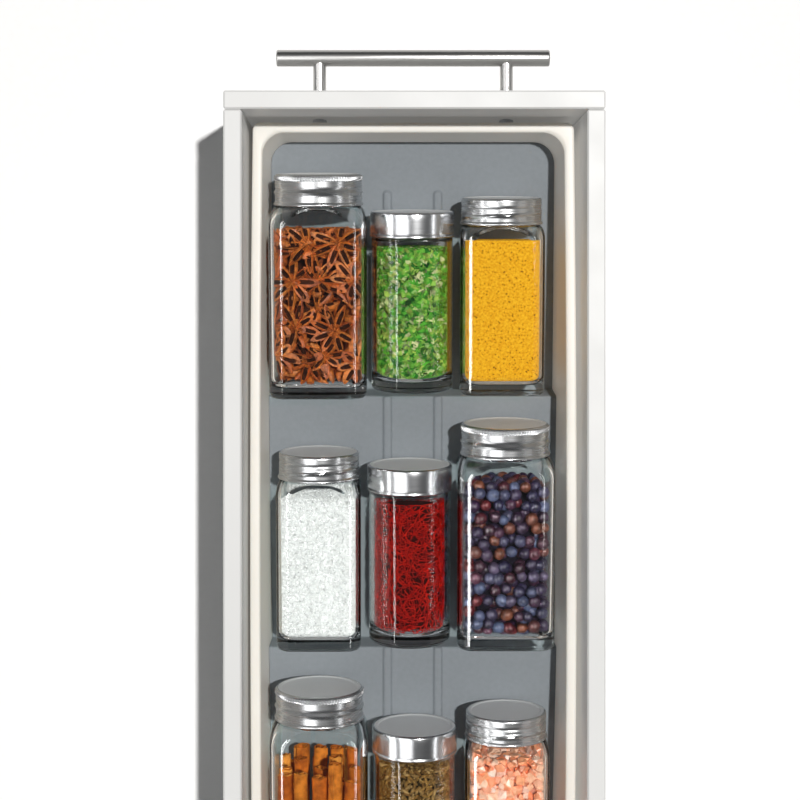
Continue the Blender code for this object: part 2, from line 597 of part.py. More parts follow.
def make_jars(glass, lid_steel, fills, tray):
    slope = math.tan(TIER_SLOPE)
    for tier, row in enumerate(JAR_ROWS):
        tier_start = TIER_START_Y + tier * TIER_PITCH
        for column, (spice, kind_name, sideways, forward) in enumerate(row):
            kind = JAR_KINDS[kind_name]
            lift = max(kind["width"] / 2, kind["lid_width"] / 2 + kind["bead"]) + GAP
            foot_y = tier_start + TIER_PITCH - RISER_LEAN - forward
            foot_z = CREST_Z - (foot_y - tier_start) * slope
            body = empty(f"{spice}_jar_place", (
                (1 - column) * COLUMN_PITCH + sideways,
                foot_y + lift * math.sin(TIER_SLOPE),
                foot_z + lift * math.cos(TIER_SLOPE)))
            body.rotation_euler = (math.pi / 2 - TIER_SLOPE, 0, 0)
            jar = add_object(f"{spice}_jar", jar_glass_bm(kind), glass, smooth_angle=35)
            fill = add_object(f"{spice}_fill", jar_fill_bm(kind), fills[spice])
            lid = add_object(f"{spice}_lid", jar_lid_bm(kind), lid_steel, smooth_angle=35)
            lid.location = (0, 0, kind["length"] - kind["lid_height"])
            for piece in (jar, fill, lid):
                piece.parent = body
            bpy.context.view_layer.update()
            attach(body, tray)


# ---------------------------------------------------------------- the whole drawer

def main():
    clear_scene()
    paint = material("white_paint", (0.86, 0.86, 0.86), 0.45)
    board = material("grey_board", (0.42, 0.42, 0.42), 0.6)
    brushed = material("brushed_steel", (0.55, 0.55, 0.55), 0.32, metallic=1.0)
    zinc = material("zinc_plate", (0.6, 0.62, 0.64), 0.35, metallic=1.0)
    ball_steel = material("ball_steel", (0.5, 0.5, 0.52), 0.25, metallic=1.0)
    lid_steel = material("lid_steel", (0.62, 0.62, 0.62), 0.3, metallic=1.0)
    rubber = material("bumper_rubber", (0.04, 0.04, 0.045), 0.8)
    cream = material("cream_plastic", (0.88, 0.84, 0.79), 0.5)
    grey = material("liner_grey", (0.24, 0.26, 0.28), 0.6)
    glass = material("jar_glass", (0.9, 0.97, 0.96), 0.03, transmission=1.0)
    fills = {
        "star_anise": material("star_anise", (0.25, 0.07, 0.02), 0.7),
        "dried_herbs": material("dried_herbs", (0.05, 0.22, 0.03), 0.8),
        "curry_powder": material("curry_powder", (0.75, 0.32, 0.02), 0.9),
        "coarse_salt": material("coarse_salt", (0.85, 0.85, 0.85), 0.5),
        "saffron": material("saffron", (0.5, 0.01, 0.01), 0.6),
        "juniper_berries": material("juniper_berries", (0.05, 0.02, 0.06), 0.5),
        "cinnamon_sticks": material("cinnamon_sticks", (0.3, 0.1, 0.03), 0.7),
        "cumin_seeds": material("cumin_seeds", (0.4, 0.25, 0.1), 0.7),
        "pink_salt": material("pink_salt", (0.75, 0.3, 0.22), 0.4),
    }
    base = empty("base_frame", (0, 0, 0))
    bodies = {"base": base}
    for name in ("outer_cages", "middle", "inner_cages", "drawer"):
        bodies[name] = empty(f"{name}_slide", (0, 0, RUNNER_BASE), base)
    bodies["tray"] = empty("tray_lift", (0, 0, TRAY_Z - RUNNER_BASE), bodies["drawer"])
    bpy.context.view_layer.update()
    front = make_drawer(paint, board, bodies["drawer"])
    make_pull(front, brushed, zinc, bodies["drawer"])
    start, end, cabinet_members = make_runners(zinc, ball_steel, rubber, bodies)
    make_base_ties(zinc, ball_steel, bodies, start, end, cabinet_members)
    make_organiser(cream, grey, bodies["tray"])
    make_jars(glass, lid_steel, fills, bodies["tray"])


main()
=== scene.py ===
# %% [markdown]
# # A pull-out pantry drawer, dressed for a render
#
# The imported model gives every working part at its real size and place. This notebook gives those parts
# their finish, and rebuilds the ones that need a finer surface than a working model has: the moulded
# tray, the glass jars, the pressed lids and the dry goods. It starts by loading the frame.

# %% Load the frame
import json
import math
import random

import bmesh
import bpy
from mathutils import Matrix, Vector, noise


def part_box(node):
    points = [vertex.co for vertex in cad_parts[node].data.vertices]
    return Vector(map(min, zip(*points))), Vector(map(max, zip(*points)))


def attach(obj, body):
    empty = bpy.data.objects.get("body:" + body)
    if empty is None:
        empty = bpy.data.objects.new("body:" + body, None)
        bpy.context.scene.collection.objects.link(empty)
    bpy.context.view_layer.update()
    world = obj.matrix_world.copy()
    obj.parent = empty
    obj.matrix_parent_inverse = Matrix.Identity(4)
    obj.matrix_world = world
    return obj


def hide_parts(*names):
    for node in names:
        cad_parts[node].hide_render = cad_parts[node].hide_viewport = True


MM = 0.001
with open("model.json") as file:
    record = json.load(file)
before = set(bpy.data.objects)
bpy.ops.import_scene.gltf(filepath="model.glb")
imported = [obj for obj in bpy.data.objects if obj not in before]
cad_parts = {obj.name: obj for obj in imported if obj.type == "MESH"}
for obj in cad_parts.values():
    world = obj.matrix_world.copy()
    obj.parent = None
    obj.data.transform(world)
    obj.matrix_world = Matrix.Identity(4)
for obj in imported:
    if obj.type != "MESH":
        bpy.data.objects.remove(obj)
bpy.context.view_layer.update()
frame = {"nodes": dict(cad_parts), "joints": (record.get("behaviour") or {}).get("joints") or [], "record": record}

# %% [markdown]
# The drawer stands on a white surface and is seen from straight above, so the camera looks down the
# vertical with the pull at the top of the picture. A long lens about a metre up keeps the perspective
# gentle. The lens is shifted a little sideways and down, because the drawer runs out of the picture.

# %% Camera
front_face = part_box("drawer_front")[0][1]
drawer_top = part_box("drawer_front")[1][2]

LENS = 91.2
SENSOR_WIDTH = 36.0
SHIFT = (0.01625, -0.09375)
CAMERA_FROM_PULL_SIDE = Vector((13.4, 114.7, 990)) * MM  # from the middle of the front's top edge

camera = bpy.data.objects.new("camera", bpy.data.cameras.new("camera"))
bpy.context.scene.collection.objects.link(camera)
camera.data.lens = LENS
camera.data.sensor_width = SENSOR_WIDTH
camera.data.shift_x, camera.data.shift_y = SHIFT
camera.location = Vector((0, front_face, drawer_top)) + CAMERA_FROM_PULL_SIDE
camera.rotation_euler = (0, 0, math.pi)
bpy.context.scene.camera = camera
bpy.context.scene.view_settings.view_transform = "Standard"
print("camera is", round(camera.location.z, 3), "m above the floor")

# %% [markdown]
# The light is one small bright source, high on the right and a little behind the pull, which draws the
# crisp edge of shadow inside the tray and beside the drawer. A dim surround and a low bounce light fill
# the shadows, and the bounce reaches the walls that face away from the key. The surround lights the
# scene dimly but is seen as plain white, like the paper backdrop that a studio hangs behind its table.
#
# Long softboxes are there for the metal and the glass only: a lid shows what it mirrors, and it needs
# something bright and something dark to mirror. Each kind of surface has its own, through light
# linking.

# %% Light
scene = bpy.context.scene
scene.world = bpy.data.worlds.new("studio")
scene.world.use_nodes = True
sky = scene.world.node_tree
surround = sky.nodes["Background"]
surround.inputs["Color"].default_value = (0.94, 0.97, 1.0, 1.0)
surround.inputs["Strength"].default_value = 0.06
backdrop = sky.nodes.new("ShaderNodeBackground")
backdrop.inputs["Color"].default_value = (1.0, 1.0, 1.0, 1.0)
seen = sky.nodes.new("ShaderNodeLightPath")
either = sky.nodes.new("ShaderNodeMixShader")
for output, target in ((seen.outputs["Is Camera Ray"], either.inputs[0]),
                       (surround.outputs[0], either.inputs[1]), (backdrop.outputs[0], either.inputs[2]),
                       (either.outputs[0], sky.nodes["World Output"].inputs["Surface"])):
    sky.links.new(output, target)

LIGHT_TRAVEL = Vector((0.21, 0.13, -1.0))
BOUNCE_TRAVEL = Vector((-0.68, -0.68, -0.25))
SOFTBOX_LENGTH = 1.6
SOFTBOXES = (  # name, watts, place, width
    ("metal_left", 3.0, (1.0, 0.05, 0.67), 0.1),
    ("metal_right", 2.0, (-1.0, 0.05, 0.67), 0.1),
    ("metal_above", 12.0, (0.72, 0.15, 1.45), 0.9),
    ("square_glass_left", 40.0, (0.84, 0.0, 1.0), 0.4),
    ("square_glass_right", 8.0, (-0.84, 0.0, 1.0), 0.12),
    ("round_glass_left", 2.5, (0.9, 0.0, 0.9), 0.05),
)


def add_light(name, kind, energy, location=(0, 0, 0), direction=LIGHT_TRAVEL, **settings):
    lamp = bpy.data.objects.new(name, bpy.data.lights.new(name, kind))
    scene.collection.objects.link(lamp)
    lamp.data.energy = energy
    lamp.location = location
    lamp.rotation_euler = Vector(direction).to_track_quat("-Z", "Y").to_euler()
    for field, value in settings.items():
        setattr(lamp.data, field, value)
    return lamp


add_light("key", "SUN", 3.05, angle=math.radians(1.8), color=(1.0, 0.99, 0.97))
bounce = add_light("bounce", "SUN", 0.6, direction=BOUNCE_TRAVEL, angle=math.radians(40))
bounce.data.use_shadow = False
lit_by = {}
for name, power, place, wide in SOFTBOXES:
    softbox = add_light(name, "AREA", power, location=place, direction=-Vector(place), shape="RECTANGLE",
                        size=SOFTBOX_LENGTH, size_y=wide)
    softbox.visible_diffuse = False
    kind = name.rsplit("_", 1)[0]
    if kind not in lit_by:
        lit_by[kind] = bpy.data.collections.new(f"lit_by_{kind}")
    softbox.light_linking.receiver_collection = lit_by[kind]
print("softboxes for", ", ".join(lit_by))

# %% [markdown]
# Colours are easiest to choose as the hex codes that a picture editor shows. Those are sRGB values,
# and Blender's nodes work in linear light, so one function turns them. A second one adds a node to a
# material with its settings and links, and it serves every material below.

# %% Colour and node helpers
def linear(code, alpha=1.0):
    channels = [int(code[i:i + 2], 16) / 255 for i in (1, 3, 5)]
    return (*[c / 12.92 if c <= 0.04045 else ((c + 0.055) / 1.055) ** 2.4 for c in channels], alpha)


def start_material(name, code, roughness, metallic=0.0, **sockets):
    made = bpy.data.materials.new(name)
    made.use_nodes = True
    shader = made.node_tree.nodes["Principled BSDF"]
    shader.inputs["Base Color"].default_value = linear(code)
    shader.inputs["Roughness"].default_value = roughness
    shader.inputs["Metallic"].default_value = metallic
    for socket, value in sockets.items():
        shader.inputs[socket.replace("_", " ")].default_value = value
    return made, shader


def add_node(material, kind, settings=None, **inputs):
    """A node whose inputs are values, colours or other nodes' output sockets."""
    node = material.node_tree.nodes.new(kind)
    for field, value in (settings or {}).items():
        setattr(node, field, value)
    for socket, value in inputs.items():
        target = node.inputs[int(socket[1:])] if socket[0] == "n" and socket[1:].isdigit() else \
            node.inputs[socket.replace("_", " ")]
        if isinstance(value, bpy.types.NodeSocket):
            material.node_tree.links.new(value, target)
        else:
            target.default_value = value
    return node


def grain(material, size, stretch=(1, 1, 1), detail=3.0):
    """Noise whose cells are about size metres across, longer where stretch is small."""
    coordinates = add_node(material, "ShaderNodeTexCoord")
    mapping = add_node(material, "ShaderNodeMapping", Vector=coordinates.outputs["Object"], Scale=stretch)
    pattern = add_node(material, "ShaderNodeTexNoise", Vector=mapping.outputs["Vector"],
                       Scale=0.5 / size, Detail=detail)
    return pattern.outputs[0]


def shades(material, factor, *stops):
    """A colour ramp through (position, hex colour) stops, read by factor."""
    ramp = add_node(material, "ShaderNodeValToRGB", Fac=factor)
    elements = ramp.color_ramp.elements
    while len(elements) < len(stops):
        elements.new(0.5)
    for element, (position, code) in zip(elements, stops):
        element.position = position
        element.color = linear(code)
    return ramp.outputs["Color"]


def roughen(material, shader, height, depth, strength=0.4):
    """Bump of that depth in metres, from a pattern."""
    bump = add_node(material, "ShaderNodeBump", Height=height, Distance=depth, Strength=strength)
    material.node_tree.links.new(bump.outputs["Normal"], shader.inputs["Normal"])


def between(material, factor, low, high):
    """A pattern from 0 to 1 turned into values from low to high."""
    return add_node(material, "ShaderNodeMapRange", Value=factor, To_Min=low, To_Max=high).outputs["Result"]


def link(material, output, shader, socket):
    material.node_tree.links.new(output, shader.inputs[socket])


# %% [markdown]
# The box is wood board under satin white paint. Sprayed paint levels out to a faint orange peel about
# 2 mm across, which shows only in highlights, and the tone drifts a little over a hand's width.

# %% Painted board
def painted_board():
    made, shader = start_material("satin_white_paint_on_board", "#DDDDDC", 0.42)
    link(made, shades(made, grain(made, 60 * MM), (0.3, "#DBDBDA"), (0.7, "#E0E0DF")), shader, "Base Color")
    link(made, between(made, grain(made, 9 * MM), 0.36, 0.5), shader, "Roughness")
    roughen(made, shader, grain(made, 1.6 * MM, detail=1.0), 0.05 * MM)
    return made


def melamine_board():
    made, shader = start_material("grey_melamine_faced_board", "#A6A6A5", 0.5)
    paper_print = shades(made, grain(made, 0.8 * MM), (0.35, "#9E9E9D"), (0.65, "#ACACAB"))
    link(made, paper_print, shader, "Base Color")
    roughen(made, shader, grain(made, 0.7 * MM), 0.03 * MM)
    return made


# %% [markdown]
# The runners and ties are zinc-plated steel, rolled and then plated bright: a cool grey metal whose
# gloss is cloudy in patches a few millimetres across. The balls and their cages are polished, and the
# end bumpers are black rubber, which is never quite black and hardly shines.

# %% Runner metals and rubber
def zinc_plated_steel():
    made, shader = start_material("zinc_plated_steel", "#B9BCC0", 0.34, metallic=1.0)
    link(made, between(made, grain(made, 5 * MM), 0.24, 0.46), shader, "Roughness")
    patches = shades(made, grain(made, 14 * MM), (0.35, "#B1B4BA"), (0.65, "#C4C6C8"))
    link(made, patches, shader, "Base Color")
    roughen(made, shader, grain(made, 0.5 * MM, stretch=(1, 0.04, 1)), 0.02 * MM)
    return made


def polished_steel():
    made, shader = start_material("polished_bearing_steel", "#AEB0B3", 0.18, metallic=1.0)
    link(made, between(made, grain(made, 3 * MM), 0.12, 0.28), shader, "Roughness")
    return made


def black_rubber():
    made, shader = start_material("moulded_black_rubber", "#26272A", 0.75)
    roughen(made, shader, grain(made, 0.6 * MM), 0.06 * MM)
    return made


# %% [markdown]
# The tray is moulded in cream plastic. A spark-eroded mould leaves a fine satin texture, which dulls
# the highlight, and thick cream plastic lets a little light into its edges. The liner that lies on its
# steps is a grey thermoplastic elastomer, so it is duller and grips: its skin has a grain near 1 mm.

# %% Tray plastics
def cream_polypropylene():
    made, shader = start_material("moulded_cream_polypropylene", "#E0DCD5", 0.44, Subsurface_Weight=0.3)
    shader.inputs["Subsurface Radius"].default_value = (6 * MM, 5 * MM, 4 * MM)
    shader.inputs["Subsurface Scale"].default_value = 1.0
    link(made, shades(made, grain(made, 30 * MM), (0.3, "#DDD9D1"), (0.7, "#E3DFD8")), shader, "Base Color")
    roughen(made, shader, grain(made, 0.9 * MM), 0.04 * MM)
    return made


def grey_elastomer():
    made, shader = start_material("grey_thermoplastic_elastomer", "#7A8085", 0.72)
    skin = shades(made, grain(made, 1.2 * MM), (0.3, "#777D82"), (0.7, "#7B8186"))
    link(made, skin, shader, "Base Color")
    roughen(made, shader, grain(made, 0.8 * MM), 0.07 * MM, strength=0.6)
    return made


# %% [markdown]
# The pull and the lids are stainless steel. Brushing leaves fine parallel scratches, so the surface is
# rough across them and smooth along them, and highlights smear sideways. Real scratches are a tenth
# of a millimetre wide, too fine to show here, so they are drawn at a third of a millimetre.

# %% Stainless steel
def brushed_steel(name, along, code, rough=(0.22, 0.4)):
    """Scratches run along one axis of the piece: a small number in along stretches them."""
    made, shader = start_material(name, code, 0.3, metallic=1.0)
    lines = grain(made, 0.35 * MM, stretch=along, detail=4.0)
    link(made, between(made, lines, *rough), shader, "Roughness")
    roughen(made, shader, lines, 0.02 * MM, strength=0.5)
    return made


def turned_steel(name, code, rough, metallic=1.0):
    """A lid's surface: scratches run round it, so the pattern reads the lid's own map (round, down)."""
    made, shader = start_material(name, code, rough[0], metallic=metallic)
    coordinates = add_node(made, "ShaderNodeTexCoord")
    mapping = add_node(made, "ShaderNodeMapping", Vector=coordinates.outputs["UV"], Scale=(6, 150, 1))
    lines = add_node(made, "ShaderNodeTexNoise", Vector=mapping.outputs["Vector"], Scale=1.0,
                     Detail=3.0).outputs[0]
    link(made, between(made, lines, *rough), shader, "Roughness")
    roughen(made, shader, lines, 0.004 * MM, strength=0.2)
    return made


# %% [markdown]
# Jar glass is pressed soda-lime glass. Iron in the sand tints it blue-green wherever a ray passes
# through much of it, which is at the edges and in the thick base, so the tint grows towards grazing
# angles. A path tracer would leave the goods behind it nearly dark, because light bent by glass is
# hard to find, so shadow rays pass through a faintly tinted transparent shader instead. Rays that
# leave a matt surface do the same, so that the light inside a jar is counted only once.

# %% Glass
def pressed_glass():
    made, shader = start_material("pressed_soda_lime_glass", "#FFFFFF", 0.0, IOR=1.5,
                                  Transmission_Weight=1.0)
    edge = add_node(made, "ShaderNodeLayerWeight", Blend=0.35).outputs["Facing"]
    tint = shades(made, edge, (0.4, "#FFFFFF"), (0.75, "#A8D6D8"), (1.0, "#2C8792"))
    link(made, tint, shader, "Base Color")
    clear = add_node(made, "ShaderNodeBsdfTransparent", Color=linear("#FAFDFC")).outputs[0]
    path = add_node(made, "ShaderNodeLightPath")
    once = add_node(made, "ShaderNodeMixShader", Fac=path.outputs["Is Diffuse Ray"],
                    n1=shader.outputs[0], n2=clear)
    mixed = add_node(made, "ShaderNodeMixShader", Fac=path.outputs["Is Shadow Ray"],
                     n1=once.outputs[0], n2=clear)
    surface = made.node_tree.nodes["Material Output"].inputs["Surface"]
    made.node_tree.links.new(mixed.outputs[0], surface)
    return made


# %% [markdown]
# Dry goods vary from piece to piece more than within a piece, so most of their materials pick a tone
# at random for every loose island of the mesh, and add a little mottling over it.

# %% Dry goods
def dry_goods(name, roughness, *tones, mottle=1.2 * MM, depth=0.08 * MM, shine=0.15, shaded="#8C8C8C"):
    made, shader = start_material(name, tones[0], roughness, Specular_IOR_Level=shine)
    piece = add_node(made, "ShaderNodeNewGeometry").outputs["Random Per Island"]
    stops = [((i + 0.5) / len(tones), code) for i, code in enumerate(tones)]
    tone = shades(made, piece, *stops)
    speckle = shades(made, grain(made, mottle), (0.3, shaded), (0.6, "#FFFFFF"))
    mixed = add_node(made, "ShaderNodeMix", {"data_type": "RGBA", "blend_type": "MULTIPLY"}, n0=0.8)
    made.node_tree.links.new(tone, mixed.inputs[6])
    made.node_tree.links.new(speckle, mixed.inputs[7])
    link(made, mixed.outputs[2], shader, "Base Color")
    roughen(made, shader, grain(made, mottle / 2), depth, strength=0.6)
    return made


def ground_powder():
    """Finely ground, so its colour is even, with husk specks about half a millimetre across."""
    made, shader = start_material("ground_curry_powder", "#E3A11B", 0.9, Specular_IOR_Level=0.1)
    husks = shades(made, grain(made, 0.55 * MM, detail=4.0),
                   (0.31, "#5A3006"), (0.37, "#E89A10"), (0.66, "#FFC228"))
    link(made, husks, shader, "Base Color")
    roughen(made, shader, grain(made, 0.6 * MM, detail=5.0), 0.25 * MM, strength=0.8)
    return made


FINISH = {
    "white_paint": painted_board(),
    "grey_board": melamine_board(),
    "zinc_plate": zinc_plated_steel(),
    "ball_steel": polished_steel(),
    "bumper_rubber": black_rubber(),
    "brushed_steel": brushed_steel("brushed_stainless_steel", (0.02, 1, 1), "#B4B3B1"),
    "cream_plastic": cream_polypropylene(),
    "liner_grey": grey_elastomer(),
    "jar_glass": pressed_glass(),
    "satin_lid": turned_steel("satin_turned_stainless_steel", "#C8C9CA", (0.22, 0.32)),
    # The lid's top disc is a lighter, less metallic copy of the lid steel: painted light, so that the top reads
    # bright though the key light only grazes it.
    "lid_top": turned_steel("satin_steel_lid_top_painted_lighter", "#D6D7D8", (0.5, 0.62), metallic=0.3),
    "polished_lid": turned_steel("polished_turned_stainless_steel", "#CBCCCE", (0.18, 0.26)),
    "star_anise": dry_goods("dried_star_anise_pods", 0.5, "#AC521C", "#C8682A", "#D88038", "#8A3C16",
                            "#C66E28", mottle=0.9 * MM, shine=0.3, shaded="#6A5648"),
    "dried_herbs": dry_goods("dried_crushed_herb_leaves", 0.8, "#2A7424", "#62BC3C", "#3A9030", "#A6D85A",
                             "#14421A", "#C4DC66", "#54A836", "#F0EEB0", "#1E5E22", "#7CC848"),
    "curry_powder": ground_powder(),
    "coarse_salt": dry_goods("coarse_sea_salt_crystals", 0.35, "#FFFFFF", "#FDFDFD", "#F6F6F6", "#FFFFFF",
                             "#EDEDED", "#FFFFFF", mottle=0.7 * MM, shine=0.5, shaded="#EEEEEE"),
    "saffron": dry_goods("dried_saffron_threads", 0.6, "#9C0A04", "#BE0C05", "#E2220C", "#6A0503",
                         "#D01606", shine=0.1, shaded="#A0A0A0"),
    "juniper_berries": dry_goods("dried_juniper_berries", 0.34, "#32243E", "#4E5674", "#4C2C42", "#1E1828",
                                 "#661E22", "#5E6A8C", "#36203C", "#322A42", "#262240", "#4A2A34",
                                 "#7A4430", mottle=1.6 * MM, shine=0.35, shaded="#6E6A74"),
    "cinnamon_sticks": dry_goods("rolled_cinnamon_bark", 0.75, "#C8681A", "#DC8228", "#B2580F", "#E6963C",
                                 mottle=2.5 * MM, shaded="#96806E"),
    "cumin_seeds": dry_goods("dried_cumin_seeds", 0.7, "#8A6430", "#A47C42", "#66481E", "#C09A60",
                             "#785428"),
    "pink_salt": dry_goods("crushed_pink_rock_salt", 0.35, "#FA9C70", "#FFBC96", "#FFD6BC", "#F28656",
                           "#FFEEE2", "#FFAE80", shine=0.5, shaded="#E6D2C8"),
}
print(len(FINISH), "finishes")

# %% [markdown]
# The boards, runners and screws of the working model already have their true shapes, so they stay and
# only take a finish from this set. Each node asks the record which material it is made of. The side
# board towards the light is told to throw no shadow, so the tray's rim beside it is lit as the rest is.

# %% Finish the parts that stay
slot_of = {part["node"]: part["material_slot"] for part in frame["record"]["subparts"]}
for name, node in frame["nodes"].items():
    slot = slot_of[name]
    if slot in FINISH:
        node.data.materials.clear()
        node.data.materials.append(FINISH[slot])
frame["nodes"]["drawer_side_right"].visible_shadow = False
print("finished", sum(slot in FINISH for slot in slot_of.values()), "nodes")

# %% [markdown]
# Every new piece goes through one function: it gives the mesh its finish, smooths the faces that meet
# at a shallow angle, and tells the frame which body carries the piece and which nodes it stands for.

# %% Hand a finished mesh to the frame
def add_piece(name, bm, finish, body, stands_for, smooth=35, extra=(), light=None):
    bmesh.ops.remove_doubles(bm, verts=bm.verts[:], dist=1e-7)
    mesh = bpy.data.meshes.new(name)
    bm.to_mesh(mesh)
    bm.free()
    for material in (finish, *extra):
        mesh.materials.append(material)
    if smooth:
        mesh.shade_smooth()
        mesh.set_sharp_from_angle(angle=math.radians(smooth))
    piece = bpy.data.objects.new(name, mesh)
    scene.collection.objects.link(piece)
    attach(piece, body)
    if stands_for:
        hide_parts(*stands_for)
    if light:
        lit_by[light].objects.link(piece)
    print(name, "has", len(mesh.polygons), "faces")
    return piece


# %% [markdown]
# A moulding, a jar and a lid are all stacks of rounded outlines. The loft starts from one circle, whose
# points are moved on to a rounded square, and its edges are extruded from level to level. A corner as
# large as the half width makes the outline a circle again.

# %% Loft through rounded outlines
def shape_ring(verts, segments, reach_x, reach_y, corner, z, centre=(0.0, 0.0)):
    for i, vert in enumerate(verts):
        angle = 2 * math.pi * (i + 0.5) / segments
        c, s = math.cos(angle), math.sin(angle)
        vert.co = (centre[0] + math.copysign(reach_x - corner, c) + corner * c,
                   centre[1] + math.copysign(reach_y - corner, s) + corner * s, z)


def loft(levels, segments=64, centre=(0.0, 0.0), closed=False):
    """levels are (reach_x, reach_y, corner, z). A closed loft joins its last level to its first."""
    bm = bmesh.new()
    ring = bmesh.ops.create_circle(bm, segments=segments, radius=1.0)["verts"]
    shape_ring(ring, segments, *levels[0], centre=centre)
    first = edges = bm.edges[:]
    if not closed:
        bm.faces.new(ring)
    for level in levels[1:]:
        made = bmesh.ops.extrude_edge_only(bm, edges=edges)["geom"]
        fresh = {item for item in made if isinstance(item, bmesh.types.BMVert)}
        ring = [next(e.other_vert(v) for e in v.link_edges if e.other_vert(v) in fresh) for v in ring]
        shape_ring(ring, segments, *level, centre=centre)
        edges = [item for item in made if isinstance(item, bmesh.types.BMEdge)
                 and all(v in fresh for v in item.verts)]
    if closed:
        bmesh.ops.bridge_loops(bm, edges=first + edges)
    else:
        bm.faces.new(ring)
    bmesh.ops.recalc_face_normals(bm, faces=bm.faces[:])
    return bm


def arc(start, end, centre, steps):
    """Points from start to end round a centre, all as (across, up), both ends included."""
    first = math.atan2(start[1] - centre[1], start[0] - centre[0])
    turn = math.atan2(end[1] - centre[1], end[0] - centre[0]) - first
    turn = (turn + math.pi) % (2 * math.pi) - math.pi
    wide = math.hypot(start[0] - centre[0], start[1] - centre[1])
    return [(centre[0] + wide * math.cos(first + turn * i / steps),
             centre[1] + wide * math.sin(first + turn * i / steps)) for i in range(steps + 1)]


# %% [markdown]
# The pull is a steel bar on two posts. A turned bar has a small chamfer where it was parted off, and
# each post is coped, which means that its end is milled to the bar's curve so that it sits close. The
# pull throws no shadow, which keeps the white sheet round it clean.

# %% Bar pull
def rod(radius, start, end, segments=96):
    """A capped cylinder from start to end, with the ring round start listed first."""
    start, end = Vector(start), Vector(end)
    bm = bmesh.new()
    bmesh.ops.create_cone(bm, cap_ends=True, segments=segments, radius1=radius, radius2=radius,
                          depth=(end - start).length)
    turn = (end - start).to_track_quat("Z", "Y").to_matrix().to_4x4()
    bmesh.ops.transform(bm, matrix=Matrix.Translation((start + end) / 2) @ turn, verts=bm.verts[:])
    return bm


def soften(bm, width, segments=3, limit=40):
    """Bevels every edge whose faces meet more sharply than limit degrees."""
    sharp = [e for e in bm.edges if len(e.link_faces) == 2 and e.calc_face_angle(0.0) > math.radians(limit)]
    bmesh.ops.bevel(bm, geom=sharp, offset=width, affect="EDGES", segments=segments, profile=0.5,
                    material=-1)
    return bm


bar_low, bar_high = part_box("pull_bar")
bar_axis = (bar_low + bar_high) / 2
bar_radius = (bar_high.z - bar_low.z) / 2
bar = soften(rod(bar_radius, (bar_low.x, bar_axis.y, bar_axis.z), (bar_high.x, bar_axis.y, bar_axis.z)),
             0.9 * MM)
handle = [add_piece("pull_bar_brushed", bar, FINISH["brushed_steel"], "drawer", ["pull_bar"],
                    40, light="metal")]

for side in ("left", "right"):
    low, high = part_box(f"pull_post_{side}")
    middle = (low + high) / 2
    post = rod((high.x - low.x) / 2, (middle.x, high.y, middle.z), (middle.x, bar_axis.y, middle.z), 64)
    for vert in post.verts:
        if vert.co.y < middle.y - (high.y - low.y) / 4:
            drop = vert.co.z - bar_axis.z
            vert.co.y = bar_axis.y + math.sqrt(bar_radius ** 2 - drop ** 2) + 0.05 * MM
    handle.append(add_piece(f"pull_post_{side}_coped", post, FINISH["brushed_steel"], "drawer",
                            [f"pull_post_{side}"], 40, light="metal"))
for piece in handle:
    piece.visible_shadow = False

# %% [markdown]
# The tray is one moulding. Its wall is a closed ring: up the outside, over a rounded rim, and down the
# inside, which leans out by five degrees so that the moulding leaves its mould. The long sides bulge a
# little, as long moulded walls do when they cool, so the loft is cut into stations and then bowed.

# %% Tray wall
TRAY_LOW, TRAY_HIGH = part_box("organiser_tray")
TRAY_MIDDLE_Y = (TRAY_LOW.y + TRAY_HIGH.y) / 2
TRAY_HALF_Y = (TRAY_HIGH.y - TRAY_LOW.y) / 2
BOW = 1.4 * MM
STATIONS = 16  # lengths that a long side is cut into, so that it can bow
TRAY_HALF_X = TRAY_HIGH.x - BOW
RIM = 5.2 * MM
RIM_BEND = 1.2 * MM
DRAFT = math.tan(math.radians(5))
INNER_CORNER = 11 * MM
OUTER_CORNER = 4 * MM
CREST_DEPTH = 28 * MM  # from the rim down to the floor's crests
FLOOR_CREST = TRAY_HIGH.z - CREST_DEPTH


def bowed(y):
    """How far out a long side stands at y, compared with its ends."""
    along = (y - TRAY_MIDDLE_Y) / TRAY_HALF_Y
    return BOW * max(0.0, 1 - along * along)


def tray_wall():
    top = TRAY_HIGH.z
    section = [(3 * MM, TRAY_LOW.z + 0.8 * MM), (2.2 * MM, TRAY_LOW.z)]
    section += arc((0, top - RIM_BEND), (RIM_BEND, top), (RIM_BEND, top - RIM_BEND), 4)
    section += arc((RIM - RIM_BEND, top), (RIM, top - RIM_BEND), (RIM - RIM_BEND, top - RIM_BEND), 4)
    section.append((RIM + (top - TRAY_LOW.z - 1 * MM) * DRAFT, TRAY_LOW.z + 1 * MM))
    levels = []
    for inset, z in section:
        share = min(1.0, max(0.0, inset - RIM_BEND) / (RIM - RIM_BEND))
        corner = OUTER_CORNER + (INNER_CORNER - OUTER_CORNER) * share
        levels.append((TRAY_HALF_X - inset, TRAY_HALF_Y - inset, corner, z))
    bm = loft(levels, centre=(0, TRAY_MIDDLE_Y), closed=True)
    for station in range(1, STATIONS):
        y = TRAY_MIDDLE_Y + TRAY_HALF_Y * (2 * station / STATIONS - 1)
        bmesh.ops.bisect_plane(bm, geom=bm.verts[:] + bm.edges[:] + bm.faces[:],
                               plane_co=(0, y, 0), plane_no=(0, 1, 0))
    for vert in bm.verts:
        vert.co.x += bowed(vert.co.y) * vert.co.x / TRAY_HALF_X
    return bm


# %% [markdown]
# The floor falls gently from each crest to a foot, then rises steeply to the next crest, and the jars
# lie in those three bays. Moulded steps have no sharp edges, so each corner of the side view is
# rounded first. A flat grid is then laid along that line, wide enough to meet the wall all round.

